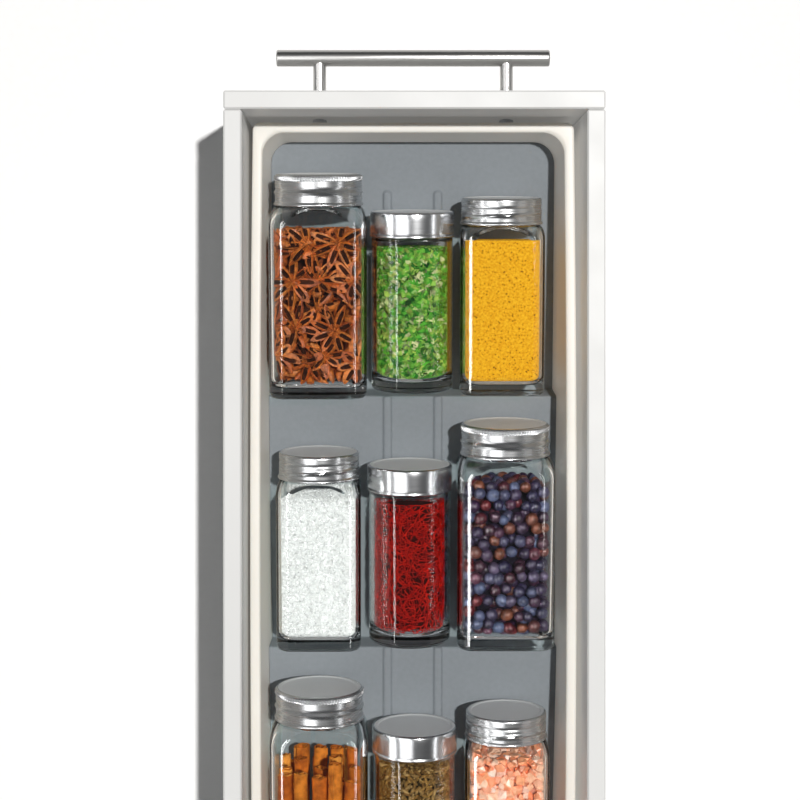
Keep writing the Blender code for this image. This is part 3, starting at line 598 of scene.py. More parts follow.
# %% Stepped floor
TIERS = 3
TIER_DROP = 12.8 * MM
LEAN = 3.4 * MM
WALL_AT_CREST = RIM + CREST_DEPTH * DRAFT
TIER_START = TRAY_LOW.y + WALL_AT_CREST + 1.5 * MM
TIER_END = TRAY_HIGH.y - WALL_AT_CREST - 1.5 * MM
PITCH = (TIER_END - TIER_START) / TIERS
RIB_X = 13.15 * MM  # each rib's distance from the middle
RIB_HALF = 2.75 * MM
RIB_HEIGHT = 1.3 * MM
RIB_FLANK = 1.35 * MM  # width of a rib's sloping side
RIB_START = 23 * MM  # from the first crest to the ribs' round ends
GRID_KEPT = 20 * MM  # middle of the floor's grid, where the ribs are; the rest stretches to the wall
GRID_SIDE = 75 * MM


def rounded_line(points, radius, steps=5):
    """The points joined, each inner corner replaced by a curve that starts radius away from it."""
    line = [points[0]]
    for before, corner, after in zip(points, points[1:], points[2:]):
        a, b, c = Vector(before), Vector(corner), Vector(after)
        start = b + (a - b).normalized() * radius
        end = b + (c - b).normalized() * radius
        for i in range(steps + 1):
            t = i / steps
            line.append(tuple(start * (1 - t) ** 2 + b * 2 * t * (1 - t) + end * t * t))
    return line + [points[-1]]


def step_line(lowered):
    """The floor seen from the side as (y, z) points no more than 4 mm apart, lowered by that much."""
    corners = [(TRAY_LOW.y + WALL_AT_CREST, FLOOR_CREST + 0.15 * MM)]
    for tier in range(TIERS):
        start = TIER_START + tier * PITCH
        corners += [(start, FLOOR_CREST), (start + PITCH - LEAN, FLOOR_CREST - TIER_DROP)]
    corners += [(TIER_END, FLOOR_CREST), (TRAY_HIGH.y - WALL_AT_CREST, FLOOR_CREST)]
    line = rounded_line(corners, 1.2 * MM)
    fine = [line[0]]
    for (y0, z0), (y1, z1) in zip(line, line[1:]):
        near_nose = TIER_START + RIB_START - 3 * MM < (y0 + y1) / 2 < TIER_START + PITCH / 2
        pieces = max(1, math.ceil(math.hypot(y1 - y0, z1 - z0) / ((0.5 if near_nose else 4) * MM)))
        fine += [(y0 + (y1 - y0) * i / pieces, z0 + (z1 - z0) * i / pieces) for i in range(1, pieces + 1)]
    return [(y + lowered, z - lowered) for y, z in fine]


def rib_height(x, y):
    """How far the two ribs of a tier stand above its slope at (x, y). The first pair has round noses."""
    tier = min(TIERS - 1, max(0, int((y - TIER_START) / PITCH)))
    along = y - TIER_START - tier * PITCH
    nose = RIB_START + RIB_HALF if tier == 0 else 1.5 * MM
    if along < 0 or along > PITCH - LEAN - 0.5 * MM:
        return 0.0
    away = abs(abs(x) - RIB_X)
    if along < nose:
        away = math.hypot(away, nose - along)
    rise = min(1.0, max(0.0, (RIB_HALF - away) / RIB_FLANK))
    return RIB_HEIGHT * rise * rise * (3 - 2 * rise)


def stepped_sheet(lowered, thickness, clearance, ribs):
    """The stepped floor as one sheet. clearance is how far its edge stays from the tray's wall."""
    line = step_line(lowered)
    near_rib = [side * d * MM for side in (-1, 1) for d in (1.4, 1.7, 2.05, 2.4, 2.75, 3.4)] + [0.0]
    across = sorted([side * RIB_X + d for side in (-1, 1) for d in near_rib] +
                    [x * MM for x in (-75, -71, -60, -45, -30, -20, 0, 20, 30, 45, 60, 71, 75)])
    bm = bmesh.new()
    bmesh.ops.create_grid(bm, x_segments=len(across) - 1, y_segments=len(line) - 1, size=0.5)
    for vert in bm.verts:
        x = across[round((vert.co.x + 0.5) * (len(across) - 1))]
        y, z = line[round((vert.co.y + 0.5) * (len(line) - 1))]
        reach = TRAY_HALF_X + bowed(y) - RIM - (TRAY_HIGH.z - z) * DRAFT - clearance
        to_end = min(y - line[0][0], line[-1][0] - y)
        if to_end < INNER_CORNER:
            reach -= INNER_CORNER - math.sqrt(INNER_CORNER ** 2 - (INNER_CORNER - max(0.0, to_end)) ** 2)
        if abs(x) > GRID_KEPT:
            stretch = (abs(x) - GRID_KEPT) / (GRID_SIDE - GRID_KEPT)
            x = math.copysign(GRID_KEPT + stretch * (reach - GRID_KEPT), x)
        vert.co = (x, y, z + (rib_height(x, y) if ribs else 0.0))
    bmesh.ops.recalc_face_normals(bm, faces=bm.faces[:])
    if sum(face.normal.z for face in bm.faces) < 0:
        bmesh.ops.reverse_faces(bm, faces=bm.faces[:])
    bmesh.ops.solidify(bm, geom=bm.faces[:], thickness=thickness)
    bmesh.ops.recalc_face_normals(bm, faces=bm.faces[:])
    return bm


def join(bm, other):
    """Adds the other mesh to bm as one more shell."""
    carried = bpy.data.meshes.new("carried")
    other.to_mesh(carried)
    other.free()
    bm.from_mesh(carried)
    bpy.data.meshes.remove(carried)
    return bm


tray = join(tray_wall(), stepped_sheet(1.8 * MM, 2.4 * MM, -1.5 * MM, ribs=False))
add_piece("tray_moulding", tray, FINISH["cream_plastic"], "organiser", ["organiser_tray"],
          40)
liner = stepped_sheet(0.0, 1.5 * MM, 0.35 * MM, ribs=True)
add_piece("liner_with_ribs", liner, FINISH["liner_grey"], "organiser", ["tray_liner"], 50)

# %% [markdown]
# Three patterns of jar are used. Each lies on its side with the lid towards the pull. A jar is drawn
# upright first, its base at the origin, and then laid in the tray: the frame knows the axis that its
# lid turns about, and that axis and the lid's lower edge give the jar's place exactly.

# %% Sizes and places of the jars
MEASURED = ("half", "corner", "length", "lid", "lid_height", "shoulder")  # half the width, and so on
JARS = {kind: dict(zip(MEASURED, (size * MM for size in sizes))) for kind, sizes in {
    "large_square": (24.75, 9, 113, 22.2, 16, 10),
    "small_square": (21.5, 8, 100, 20.5, 13.6, 6.5),
    "round": (20.9, 20.9, 92, 21.7, 13, 4),
}.items()}
for jar in JARS.values():
    jar["neck_start"] = jar["length"] - jar["lid_height"] - 0.3 * MM
    jar["body_end"] = jar["neck_start"] - jar["shoulder"]
SPICES = {
    "star_anise": "large_square", "dried_herbs": "round", "curry_powder": "small_square",
    "coarse_salt": "small_square", "saffron": "round", "juniper_berries": "large_square",
    "cinnamon_sticks": "large_square", "cumin_seeds": "round", "pink_salt": "small_square",
}
GLASS = 2.4 * MM
BOWL = 5 * MM  # the rounding between a jar's inner floor and its wall
LID_TURNS = {joint["child"]: joint for joint in frame["joints"] if joint["name"].endswith("_lid_turn")}


def lay_down(spice):
    """The matrix that lays an upright jar, base at the origin, in its place in the tray."""
    turn = LID_TURNS[f"{spice}_lid"]
    jar = JARS[SPICES[spice]]
    up_the_jar = Vector(turn["axis"]).normalized()
    sideways = Vector((1, 0, 0))
    place = Matrix((sideways, up_the_jar.cross(sideways), up_the_jar)).transposed().to_4x4()
    place.translation = Vector(turn["pos_m"]) - up_the_jar * (jar["length"] - jar["lid_height"])
    return place


print("first jar stands at", [round(c, 4) for c in lay_down("star_anise").translation])

# %% [markdown]
# A pressed jar is thick where the glass cooled slowly: in its base and its lower corners. The outline
# goes up the outside, over the mouth and down the inside in one loft, so the wall has its real
# thickness and bends light as a wall does. The shoulder is a quarter of an ellipse.

# %% Glass jars
def glass_jar(kind):
    jar = JARS[kind]
    half, corner, mouth = jar["half"], jar["corner"], jar["length"] - 1.1 * MM
    neck = jar["lid"] - 1.1 * MM
    heel = 3 * MM
    outline = [(half - 9 * MM, 0.9 * MM), (half - 5 * MM, 0.2 * MM), (half - 4.4 * MM, 0.0)]
    outline += arc((half - heel, 0.0), (half, heel), (half - heel, heel), 5)
    levels = [(reach, max(corner - (half - reach), 1.5 * MM), z) for reach, z in outline]
    quarter = [math.radians(90) * i / 8 for i in range(9)]
    levels += [(neck + (half - neck) * math.cos(t), corner + (neck - corner) * math.sin(t) ** 2,
                jar["body_end"] + jar["shoulder"] * math.sin(t)) for t in quarter]
    levels += [(neck, neck, mouth - 0.8 * MM), (neck - 0.3 * MM, neck - 0.3 * MM, mouth - 0.2 * MM),
               (neck - 1.2 * MM, neck - 1.2 * MM, mouth), (neck - GLASS, neck - GLASS, mouth - 0.8 * MM)]
    inner, inner_neck, inner_corner = half - GLASS, neck - GLASS, corner - GLASS
    levels += [(inner_neck + (inner - inner_neck) * math.cos(t),
                inner_corner + (inner_neck - inner_corner) * math.sin(t) ** 2,
                jar["body_end"] - 1.2 * MM + jar["shoulder"] * math.sin(t)) for t in reversed(quarter)]
    floor, bowl = 5.5 * MM, BOWL
    levels += [(reach, max(inner_corner - (inner - reach), 1.5 * MM), z) for reach, z in
               arc((inner, floor + bowl), (inner - bowl, floor), (inner - bowl, floor + bowl), 5)]
    levels.append((inner - 9 * MM, max(inner_corner - 9 * MM, 1.5 * MM), floor - 0.3 * MM))
    return loft([(reach, reach, bend, z) for reach, bend, z in levels], segments=72)


for spice, kind in SPICES.items():
    jar = glass_jar(kind)
    bmesh.ops.transform(jar, matrix=lay_down(spice), verts=jar.verts[:])
    add_piece(f"{spice}_glass", jar, FINISH["jar_glass"], f"{spice}_jar", [f"{spice}_jar"], 50,
              light="round_glass" if kind == "round" else "square_glass")

# %% [markdown]
# A screw lid is pressed from sheet steel and rolled at its lower edge. Half of its side view is spun
# round the axis. The large lids have a bead and a knurled band for grip, the small ones show their
# thread as slanting ridges, and the round ones are plain and polished.

# %% Lid outlines
LID_EDGE = 1.2 * MM
TEETH = 90


def lid_outline(kind):
    """(radius, height) points from inside the lid, round its rolled edge, and up to the middle."""
    jar = JARS[kind]
    wide, tall = jar["lid"], jar["lid_height"]
    inside = wide - 0.8 * MM
    line = [(0.0, tall - 0.8 * MM), (inside - 1 * MM, tall - 0.8 * MM), (inside, tall - 1.6 * MM),
            (inside, 0.7 * MM)]
    if kind == "round":
        line += arc((inside + 0.1 * MM, 0.0), (wide, 0.5 * MM), (inside + 0.3 * MM, 0.6 * MM), 3)
        line += [(wide, 1.6 * MM), (wide - 0.15 * MM, 1.8 * MM), (wide - 0.15 * MM, 2.1 * MM),
                 (wide, 2.3 * MM)]
        line += [(wide, 2.3 * MM + (tall - LID_EDGE - 2.3 * MM) * i / 4) for i in range(1, 5)]
    else:
        roll = 0.75 * MM
        line += [(inside + roll * (1 - math.cos(t)), roll * (1 - math.sin(t)))
                 for t in [math.radians(a) for a in (30, 60, 90, 120, 150, 180, 210)]]
        line += [(wide, 2 * MM + (tall - LID_EDGE - 2 * MM) * i / 24) for i in range(25)]
    line += arc((wide, tall - LID_EDGE), (wide - LID_EDGE, tall), (wide - LID_EDGE, tall - LID_EDGE), 4)[1:]
    line += [(wide - 2.6 * MM, tall), (wide - 3.1 * MM, tall - 0.35 * MM), (0.0, tall - 0.35 * MM)]
    return line


def ridge(height, middle, wide, proud):
    """A smooth ridge that stands proud at middle and dies away over wide."""
    return proud * math.exp(-((height - middle) / wide) ** 2)


def lid_relief(kind, height, angle):
    """How far the lid's side stands proud of its plain cylinder at that height and angle."""
    tall = JARS[kind]["lid_height"]
    if kind == "large_square":
        teeth = 0.45 * MM if tall - 2.9 * MM < height < tall - 0.9 * MM else 0.0
        return (ridge(height, tall * 0.42, 0.7 * MM, 0.6 * MM)
                - ridge(height, tall * 0.53, 0.45 * MM, 0.35 * MM) + teeth * math.cos(TEETH * angle))
    if kind == "small_square":
        start = (angle / math.pi) % 1.0
        swell = min(1.0, 5 * start, 5 * (1 - start))
        return (ridge(height, 3.6 * MM + 3 * MM * start, 0.7 * MM, 0.6 * MM * swell)
                - ridge(height, tall - 4.6 * MM, 0.45 * MM, 0.3 * MM))
    return 0.0


# %% [markdown]
# The spin makes four columns for each tooth of a large lid's knurl, and half as many on a plain lid.
# The lid also gets a map that unrolls it, so that the turning marks can run round it.

# %% Lids
def lid(kind):
    jar = JARS[kind]
    bm = bmesh.new()
    points = [bm.verts.new((radius, 0, height)) for radius, height in lid_outline(kind)]
    edges = [bm.edges.new(pair) for pair in zip(points, points[1:])]
    bmesh.ops.spin(bm, geom=points + edges, cent=(0, 0, 0), axis=(0, 0, 1), dvec=(0, 0, 0),
                   angle=2 * math.pi, steps=(4 if kind == "large_square" else 2) * TEETH, use_merge=True)
    bmesh.ops.remove_doubles(bm, verts=bm.verts[:], dist=1e-6)
    map_layer = bm.loops.layers.uv.new("turning")
    for face in bm.faces:
        middle = face.calc_center_median()
        # Faces of the top disc take the second material, the lid steel painted lighter as painted light.
        face.material_index = int(middle.z > jar["lid_height"] - 0.5 * MM
                                  and math.hypot(middle.x, middle.y) < jar["lid"] - 1.6 * MM)
        turns = [math.atan2(loop.vert.co.y, loop.vert.co.x) / (2 * math.pi) for loop in face.loops]
        crosses = max(turns) - min(turns) > 0.5
        for loop, turn in zip(face.loops, turns):
            down = jar["lid"] - math.hypot(loop.vert.co.x, loop.vert.co.y) + loop.vert.co.z
            loop[map_layer].uv = (turn + (1 if crosses and turn < 0 else 0), down / (50 * MM))
    for vert in bm.verts:
        reach = math.hypot(vert.co.x, vert.co.y)
        if reach > jar["lid"] - 0.3 * MM and vert.co.z > 1.9 * MM:
            angle = math.atan2(vert.co.y, vert.co.x)
            grown = 1 + lid_relief(kind, vert.co.z, angle) / reach
            vert.co.x, vert.co.y = vert.co.x * grown, vert.co.y * grown
    bmesh.ops.recalc_face_normals(bm, faces=bm.faces[:])
    return bm


for spice, kind in SPICES.items():
    cap = lid(kind)
    lift = Matrix.Translation((0, 0, JARS[kind]["length"] - JARS[kind]["lid_height"]))
    bmesh.ops.transform(cap, matrix=lay_down(spice) @ lift, verts=cap.verts[:])
    steel = FINISH["polished_lid" if kind == "round" else "satin_lid"]
    add_piece(f"{spice}_screw_lid", cap, steel, f"{spice}_lid", [f"{spice}_lid"], 32,
              [FINISH["lid_top"]], "metal")

# %% [markdown]
# A jar of seeds shows only the pieces that lie against the glass, so each filling is a shell: pieces
# spread over the inner wall and both ends in jittered rows, round a core that stops the view through.
# In most jars the core is darker than the pieces: it is painted shade, for the shade deep between them.
# First come the helpers that spread them and that sow copies of one small shape.

# %% Spread and sow
def goods_room(kind):
    """Half width, corner, lowest and highest level of the space for dry goods."""
    jar = JARS[kind]
    inset = GLASS + 0.15 * MM
    return jar["half"] - inset, jar["corner"] - inset, 6 * MM, jar["body_end"] - 0.5 * MM


def round_wall(half, corner, share):
    """Point and outward direction at a share of the way round a rounded square."""
    side, bend = 2 * (half - corner), math.pi / 2 * corner
    step = (share % 1.0) * 4
    quarter, along = int(step), (step - int(step)) * (side + bend)
    if along < side:
        point, out = Vector((half, along - side / 2, 0)), Vector((1, 0, 0))
    else:
        angle = (along - side) / corner
        out = Vector((math.cos(angle), math.sin(angle), 0))
        point = Vector((half - corner, half - corner, 0)) + out * corner
    turn = Matrix.Rotation(quarter * math.pi / 2, 3, "Z")
    return turn @ point, turn @ out


def spread(room, depth, spacing, rng, jitter=0.4, ends=True):
    """(point, outward) pairs in jittered rows, depth inside the wall of the room."""
    half, corner, low, high = room
    half, corner = half - depth, max(corner - depth, 1 * MM)
    round_length = 8 * (half - corner) + 2 * math.pi * corner
    rows = max(2, round((high - low - 2 * depth) / spacing))
    columns = round(round_length / spacing)
    for row in range(rows):
        for column in range(columns):
            share = (column + row % 2 / 2 + rng.uniform(-jitter, jitter)) / columns
            point, out = round_wall(half, corner, share)
            level = (row + 0.5 + rng.uniform(-jitter, jitter)) / rows
            rise = low + depth + (high - low - 2 * depth) * level
            yield point + Vector((0, 0, rise)), out
    if not ends:
        return
    rings = int(half / spacing)
    for level, out in ((low + depth, Vector((0, 0, -1))), (high - depth, Vector((0, 0, 1)))):
        for ring in range(rings):
            reach = half - (ring + 0.5) * spacing
            bend = max(corner - (ring + 0.5) * spacing, 0.4 * reach)
            count = max(1, round((8 * (reach - bend) + 2 * math.pi * bend) / spacing))
            for i in range(count):
                point, _ = round_wall(reach, bend, (i + rng.uniform(-jitter, jitter)) / count)
                yield point + Vector((0, 0, level)), out


def laid(point, out, rng, tilt=20.0, size=(1.0, 1.0)):
    """Flat against the wall, turned at random, tipped by up to tilt degrees, and scaled."""
    tip = math.radians(tilt)
    return (Matrix.Translation(point) @ out.to_track_quat("Z", "Y").to_matrix().to_4x4()
            @ Matrix.Rotation(rng.uniform(0, 2 * math.pi), 4, "Z")
            @ Matrix.Rotation(rng.uniform(-tip, tip), 4, "X")
            @ Matrix.Rotation(rng.uniform(-tip, tip), 4, "Y")
            @ Matrix.Scale(rng.uniform(*size), 4))


def core(room, inset):
    """The middle of a filling, as a closed block of rounded outlines in the second material: painted shade in most
    jars.
    """
    half, corner, low, high = room
    half, corner, low, high = half - inset, max(corner - inset, 1 * MM), low + inset, high - inset
    soft = 2 * MM
    end_corner = max(corner - soft, 0.5 * MM)
    block = loft([(half - soft, half - soft, end_corner, low), (half, half, corner, low + soft),
                  (half, half, corner, high - soft), (half - soft, half - soft, end_corner, high)],
                 segments=32)
    # The core's faces take the filling's second material, which carries the painted shade.
    for face in block.faces:
        face.material_index = 1
    return block


def sow(bm, shapes, places, rng):
    """Adds one of the shapes at each place. A shape is a small mesh drawn round the origin."""
    meshes = []
    for shape in shapes:
        mesh = bpy.data.meshes.new("seed")
        shape.to_mesh(mesh)
        shape.free()
        meshes.append(mesh)
    for place in places:
        mesh = rng.choice(meshes)
        mesh.transform(place)
        bm.from_mesh(mesh)
        mesh.transform(place.inverted())
    for mesh in meshes:
        bpy.data.meshes.remove(mesh)
    return bm


def press_in(bm, room):
    """Keeps every point inside the glass, as the glass itself does, down to its bowl-shaped bottom."""
    half, corner, low, high = room
    straight = half - corner
    for vert in bm.verts:
        x, y, z = vert.co
        z = min(max(z, low), high)
        deep = max(0.0, BOWL - (z - low))
        bend = corner - (BOWL - math.sqrt(BOWL ** 2 - deep ** 2))
        past_x, past_y = abs(x) - straight, abs(y) - straight
        far = math.hypot(max(past_x, 0), max(past_y, 0))
        if far > bend:
            x = math.copysign(straight + past_x * bend / far, x) if past_x > 0 else x
            y = math.copysign(straight + past_y * bend / far, y) if past_y > 0 else y
        vert.co = (x, y, z)
    return bm


def fill_jar(spice, bm, shade, smooth=30):
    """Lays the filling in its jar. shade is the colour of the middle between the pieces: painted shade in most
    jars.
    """
    # The second material is painted shade for the core and the anise pods' splits; deeper is a darker mottle of
    # that painted shade.
    packed, shader = start_material(f"{spice}_packed_in_shade", shade, 0.9, Specular_IOR_Level=0.1)
    deeper = "#" + "".join(f"{int(shade[i:i + 2], 16) * 3 // 4:02X}" for i in (1, 3, 5))
    link(packed, shades(packed, grain(packed, 1 * MM), (0.35, deeper), (0.6, shade)), shader, "Base Color")
    press_in(bm, goods_room(SPICES[spice]))
    bmesh.ops.transform(bm, matrix=lay_down(spice), verts=bm.verts[:])
    add_piece(f"{spice}_goods", bm, FINISH[spice], f"{spice}_jar", [f"{spice}_fill"], smooth,
              [packed])


def squashed_ball(rng, size, rough=0.0, detail=1):
    """A small rounded piece of that size (x, y, z), with its points pushed about by rough."""
    bm = bmesh.new()
    bmesh.ops.create_icosphere(bm, subdivisions=detail, radius=0.5)
    for vert in bm.verts:
        vert.co *= 1 + rng.uniform(-rough, rough)
    bmesh.ops.scale(bm, vec=size, verts=bm.verts[:])
    return bm


# %% [markdown]
# A star of anise is a ring of eight woody pods, each a little boat split along its upper edge. A pod is
# a stretched sphere whose upper ridge is pressed in to open the split.

# %% Star anise
def anise_pod():
    """One pod along X from the star's middle, 15 mm long. Its open split takes the second material: painted shade.
    """
    pod = bmesh.new()
    bmesh.ops.create_uvsphere(pod, u_segments=12, v_segments=9, radius=0.5)
    bmesh.ops.rotate(pod, verts=pod.verts[:], cent=(0, 0, 0), matrix=Matrix.Rotation(math.pi / 2, 3, "Y"))
    for face in pod.faces:
        # The faces along the split take the painted shade material, for the shade inside the open split.
        middle = face.calc_center_median()
        face.material_index = int(middle.z > 0.2 and abs(middle.y) < 0.14 and abs(middle.x) < 0.3)
    for vert in pod.verts:
        x, y, z = vert.co
        belly = 1 - 1.4 * max(0.0, x) ** 1.5
        vert.co = (x * 14.5 * MM + 7.6 * MM, y * 4.6 * MM * belly, z * 5 * MM * belly + x * x * 9 * MM)
        if z > 0.2 and abs(y) < 0.1 and abs(x) < 0.4:
            vert.co.z -= 2.6 * MM * belly
    return pod


def anise_star(rng):
    star = bmesh.new()
    pod = anise_pod()
    carried = bpy.data.meshes.new("pod")
    pod.to_mesh(carried)
    pod.free()
    for i in range(8):
        turn = Matrix.Rotation(math.radians(45 * i + rng.uniform(-6, 6)), 4, "Z")
        tip = Matrix.Rotation(math.radians(rng.uniform(-12, 8)), 4, "Y")
        long = Matrix.Scale(rng.uniform(0.7, 1.08), 4, (1, 0, 0))
        place = turn @ tip @ long
        carried.transform(place)
        star.from_mesh(carried)
        carried.transform(place.inverted())
    bpy.data.meshes.remove(carried)
    return star


rng = random.Random(11)
room = goods_room("large_square")
room = (room[0], room[1], 8.5 * MM, room[3])
places = [laid(point, out, rng, 20, (0.9, 1.05)) for point, out in spread(room, 3 * MM, 19 * MM, rng, 0.25)]
places += [laid(point, out, rng, 70) for point, out in spread(room, 8 * MM, 17 * MM, rng, ends=False)]
stars = [anise_star(rng) for _ in range(4)]
# 3A1A0C is painted shade, for the core between the stars and the splits of the pods.
fill_jar("star_anise", sow(core(room, 12 * MM), stars, places, rng), "#3A1A0C", 40)

# %% [markdown]
# Crushed leaves are thin curled flakes, two to four millimetres long.

# %% Dried herbs
def leaf_flake(rng):
    flake = bmesh.new()
    rim = bmesh.ops.create_circle(flake, cap_ends=True, segments=5, radius=1.15 * MM)["verts"]
    for vert in rim:
        vert.co *= rng.uniform(0.7, 1.7)
    bmesh.ops.scale(flake, vec=(1.45, 1, 1), verts=flake.verts[:])
    bmesh.ops.solidify(flake, geom=flake.faces[:], thickness=0.15 * MM)
    for vert in flake.verts:
        vert.co.z += 60 * vert.co.x ** 2 - 50 * vert.co.y ** 2
    return flake


rng = random.Random(12)
room = goods_room("round")
places = [laid(point, out, rng, 45) for point, out in spread(room, 0.9 * MM, 1.7 * MM, rng)]
places += [laid(point, out, rng, 70) for point, out in spread(room, 2 * MM, 2.2 * MM, rng)]
flakes = [leaf_flake(rng) for _ in range(9)]
# 0E240A is painted shade, for the core between the flakes.
fill_jar("dried_herbs", sow(core(room, 2.6 * MM), flakes, places, rng), "#0E240A", 0)

# %% [markdown]
# A powder takes the shape of its jar. Its surface is a fine loft, roughened by noise where it leaves
# the glass in small hollows, with clots of powder on it.

# %% Curry powder
rng = random.Random(13)
room = goods_room("small_square")
half, corner, low, high = room
rises = [low + (high - low) * i / 60 for i in range(61)]
powder = loft([(half - 2 * MM, half - 2 * MM, corner - 1.5 * MM, low - 0.2 * MM)] +
              [(half, half, corner, z) for z in rises] +
              [(half - 2 * MM, half - 2 * MM, corner - 1.5 * MM, high + 0.2 * MM)], segments=96)
for vert in powder.verts:
    hollow = noise.fractal(vert.co * 260, 0.8, 2.0, 4) * 0.45 * MM
    flat = Vector((vert.co.x, vert.co.y, 0)).normalized()
    vert.co -= flat * max(0.0, hollow)
clot = [squashed_ball(rng, (1.6 * MM, 1.3 * MM, 0.8 * MM), 0.15) for _ in range(3)]
places = [laid(point, out, rng, 20, (0.5, 1.1)) for point, out in spread(room, 0.25 * MM, 5 * MM, rng)]
fill_jar("curry_powder", sow(powder, clot, places, rng), "#B87A10", 45)

# %% [markdown]
# Coarse salt is broken cubes, which is how salt grows.

# %% Coarse salt
def salt_cube(rng):
    cube = bmesh.new()
    bmesh.ops.create_cube(cube, size=1.25 * MM)
    for vert in cube.verts:
        vert.co *= rng.uniform(0.8, 1.15)
    return cube


rng = random.Random(14)
places = [laid(point, out, rng, 50, (0.6, 1.15)) for point, out in spread(room, 0.7 * MM, 1.3 * MM, rng)]
cubes = [salt_cube(rng) for _ in range(6)]
fill_jar("coarse_salt", sow(core(room, 1.1 * MM), cubes, places, rng), "#FFFFFF", 0)

# %% [markdown]
# Saffron is a tangle of dried threads, each about half a millimetre thick and two to three centimetres
# long. Every thread wanders over the inside of the glass as one spline of a bevelled curve.

# %% Saffron
rng = random.Random(15)
room = goods_room("round")
half, corner, low, high = room
THREADS = 950
STEP = 2 * MM  # from knot to knot along a thread
tangle = bpy.data.curves.new("saffron_tangle", "CURVE")
tangle.dimensions = "3D"
tangle.bevel_depth = 0.24 * MM
tangle.bevel_resolution = 0
tangle.use_fill_caps = True
for _ in range(THREADS):
    around, rise = rng.uniform(0, 2 * math.pi), rng.uniform(low + 1 * MM, high - 1 * MM)
    heading, depth = rng.uniform(0, 2 * math.pi), rng.uniform(0.5, 2.6) * MM
    thread = tangle.splines.new("POLY")
    thread.points.add(10)
    for knot in thread.points:
        reach = half - depth
        knot.co = (reach * math.cos(around), reach * math.sin(around), rise, 1)
        knot.radius = rng.uniform(0.6, 1.25)
        heading += rng.uniform(-0.8, 0.8)
        depth = min(max(depth + rng.uniform(-0.5, 0.5) * MM, 0.4 * MM), 3 * MM)
        around += STEP * math.cos(heading) / reach
        rise = min(max(rise + STEP * math.sin(heading), low + 0.5 * MM), high - 0.5 * MM)
carrier = bpy.data.objects.new("saffron_tangle", tangle)
scene.collection.objects.link(carrier)
bpy.context.view_layer.update()
threads = bpy.data.meshes.new_from_object(carrier.evaluated_get(bpy.context.evaluated_depsgraph_get()))
bpy.data.objects.remove(carrier)
saffron = core(room, 2.9 * MM)
saffron.from_mesh(threads)
bpy.data.meshes.remove(threads)
# 3A0602 is painted shade, for the core between the threads.
fill_jar("saffron", saffron, "#3A0602", 45)

# %% [markdown]
# Juniper berries dry to wrinkled balls of six or seven millimetres.

# %% Juniper berries
rng = random.Random(16)
room = goods_room("large_square")
berries = [squashed_ball(rng, (6.7 * MM, 6.5 * MM, 6.2 * MM), 0.035, detail=2) for _ in range(6)]
places = [laid(point, out, rng, 180, (0.82, 1.05))
          for point, out in spread(room, 3.3 * MM, 6.2 * MM, rng, 0.22)]
places += [laid(point, out, rng, 180, (0.8, 1))
           for point, out in spread(room, 7.5 * MM, 6.6 * MM, rng, ends=False)]
# 15101C is painted shade, for the core between the berries.
fill_jar("juniper_berries", sow(core(room, 8 * MM), berries, places, rng), "#15101C", 60)

# %% [markdown]
# A cinnamon quill is a strip of inner bark that curls up from both edges as it dries. Its end view is
# drawn as one rolled line, extruded along the quill in short steps, given the bark's thickness, and
# shaken a little so that it isn't perfectly straight.

# %% Cinnamon
def quill(rng, radius, long):
    bm = bmesh.new()
    turns, count, lengths = rng.uniform(1.5, 1.9), 34, 14
    spin_start = rng.uniform(0, 2 * math.pi)
    line = []
    for i in range(count):
        t = i / (count - 1)
        angle = spin_start + 2 * math.pi * turns * t
        reach = radius * (0.34 + 0.62 * t ** 0.6) - 0.3 * MM
        line.append(bm.verts.new((reach * math.cos(angle), reach * math.sin(angle), 0)))
    edges = [bm.edges.new(pair) for pair in zip(line, line[1:])]
    for _ in range(lengths):
        made = bmesh.ops.extrude_edge_only(bm, edges=edges)["geom"]
        fresh = [item for item in made if isinstance(item, bmesh.types.BMVert)]
        edges = [item for item in made if isinstance(item, bmesh.types.BMEdge)
                 and all(v in fresh for v in item.verts)]
        bmesh.ops.translate(bm, vec=(0, 0, long / lengths), verts=fresh)
    bmesh.ops.recalc_face_normals(bm, faces=bm.faces[:])
    bmesh.ops.solidify(bm, geom=bm.faces[:], thickness=0.75 * MM)
    bmesh.ops.recalc_face_normals(bm, faces=bm.faces[:])
    bend = rng.uniform(-0.5, 0.5) * MM
    for vert in bm.verts:
        along = vert.co.z / long
        knobble = noise.noise(vert.co * 240 + Vector((spin_start * 9, 0, 0))) * 0.35 * MM
        vert.co.x += bend * math.sin(math.pi * along) + knobble
        vert.co.y += knobble
        vert.co.z += noise.noise(vert.co * 300) * 1.5 * MM * (along > 0.95)
    return bm


rng = random.Random(17)
half, corner, low, high = room
sticks = bmesh.new()
STICKS = 5  # in a row, and as many rows
pitch = (2 * half) / STICKS
for row in range(STICKS):
    for column in range(STICKS):
        stick = quill(rng, pitch / 2 * rng.uniform(0.98, 1.06), rng.uniform(60, 74) * MM)
        at_corner = row in (0, STICKS - 1) and column in (0, STICKS - 1)
        corner_pull = 0.93 if at_corner else 1.0
        spread_out = pitch * corner_pull
        spot = Vector(((column - 2) * spread_out, (row - 2) * spread_out, low + 0.2 * MM))
        lean = Matrix.Rotation(math.radians(rng.uniform(-0.8, 0.8)), 4, "Y")
        bmesh.ops.transform(stick, matrix=Matrix.Translation(spot) @ lean, verts=stick.verts[:])
        join(sticks, stick)
fill_jar("cinnamon_sticks", sticks, "#3A1E0C", 45)

# %% [markdown]
# Cumin seeds are slim ridged spindles, about five millimetres long.

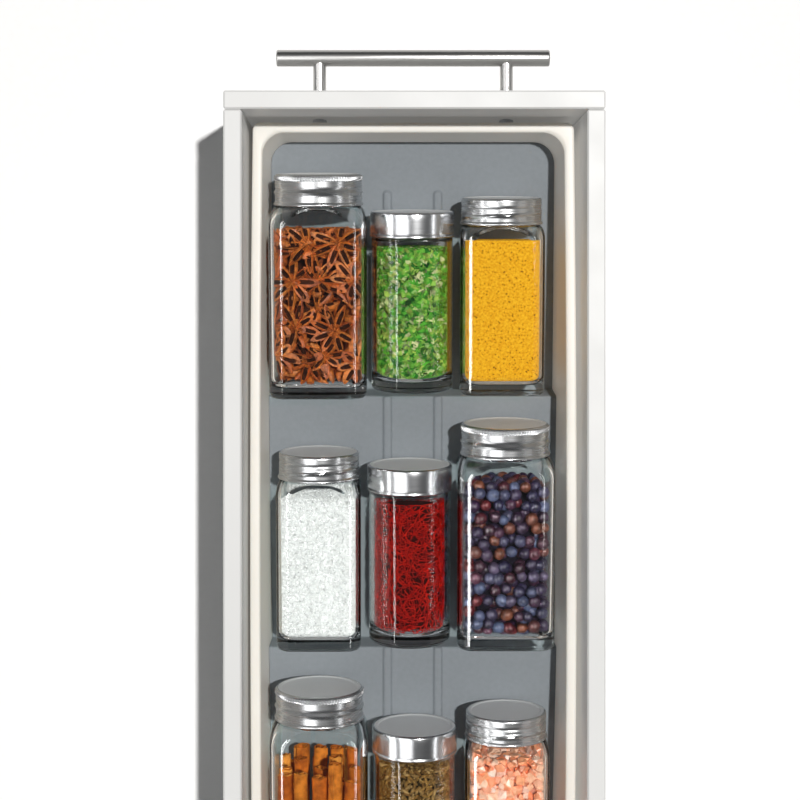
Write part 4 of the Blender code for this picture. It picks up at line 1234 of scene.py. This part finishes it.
# %% Cumin seeds
rng = random.Random(18)
room = goods_room("round")
seeds = [squashed_ball(rng, (1.7 * MM, rng.uniform(4.6, 5.6) * MM, 1.5 * MM), 0.06) for _ in range(6)]
places = [laid(point, out, rng, 25, (0.85, 1.1)) for point, out in spread(room, 1 * MM, 2.2 * MM, rng, 0.5)]
places += [laid(point, out, rng, 50) for point, out in spread(room, 2.4 * MM, 2.6 * MM, rng, 0.5)]
# 3A2E14 is painted shade, for the core between the seeds.
fill_jar("cumin_seeds", sow(core(room, 3 * MM), seeds, places, rng), "#3A2E14", 60)

# %% [markdown]
# Pink rock salt is crushed, so its lumps are angular: cubes with their points pushed about and their
# edges chipped by a bevel, left with flat faces.

# %% Pink salt
rng = random.Random(19)
room = goods_room("small_square")
lumps = []
for _ in range(9):
    lump = salt_cube(rng)
    for vert in lump.verts:
        vert.co *= 3.3
        vert.co += Vector([rng.uniform(-0.7, 0.7) * MM for _ in range(3)])
    soften(lump, 0.5 * MM, segments=1, limit=20)
    lumps.append(lump)
places = [laid(point, out, rng, 90, (0.6, 1.1)) for point, out in spread(room, 2 * MM, 3.7 * MM, rng)]
places += [laid(point, out, rng, 90, (0.7, 1))
           for point, out in spread(room, 4.6 * MM, 4.4 * MM, rng, ends=False)]
# C98A76 is painted shade, a darker pink for the core between the lumps.
fill_jar("pink_salt", sow(core(room, 4.5 * MM), lumps, places, rng), "#C98A76", 0)

# %% [markdown]
# The drawer stands on a plain white sheet, large enough to fill the picture and to catch the shadow.
# The bounce light leaves the sheet out, because it would fill the shadow that the drawer throws.

# %% Floor
sheet = bmesh.new()
bmesh.ops.create_grid(sheet, x_segments=1, y_segments=1, size=3.0)
floor_mesh = bpy.data.meshes.new("white_sheet")
sheet.to_mesh(floor_mesh)
sheet.free()
paper, shader = start_material("white_matt_paper", "#FFFFFF", 0.9, Specular_IOR_Level=0.0)
link(paper, shades(paper, grain(paper, 2 * MM), (0.3, "#FDFDFD"), (0.6, "#FFFFFF")), shader, "Base Color")
floor_mesh.materials.append(paper)
floor = bpy.data.objects.new("white_sheet", floor_mesh)
scene.collection.objects.link(floor)
not_the_floor = bpy.data.collections.new("not_the_floor")
not_the_floor.objects.link(floor)
not_the_floor.collection_objects[0].light_linking.link_state = "EXCLUDE"
bounce.light_linking.receiver_collection = not_the_floor
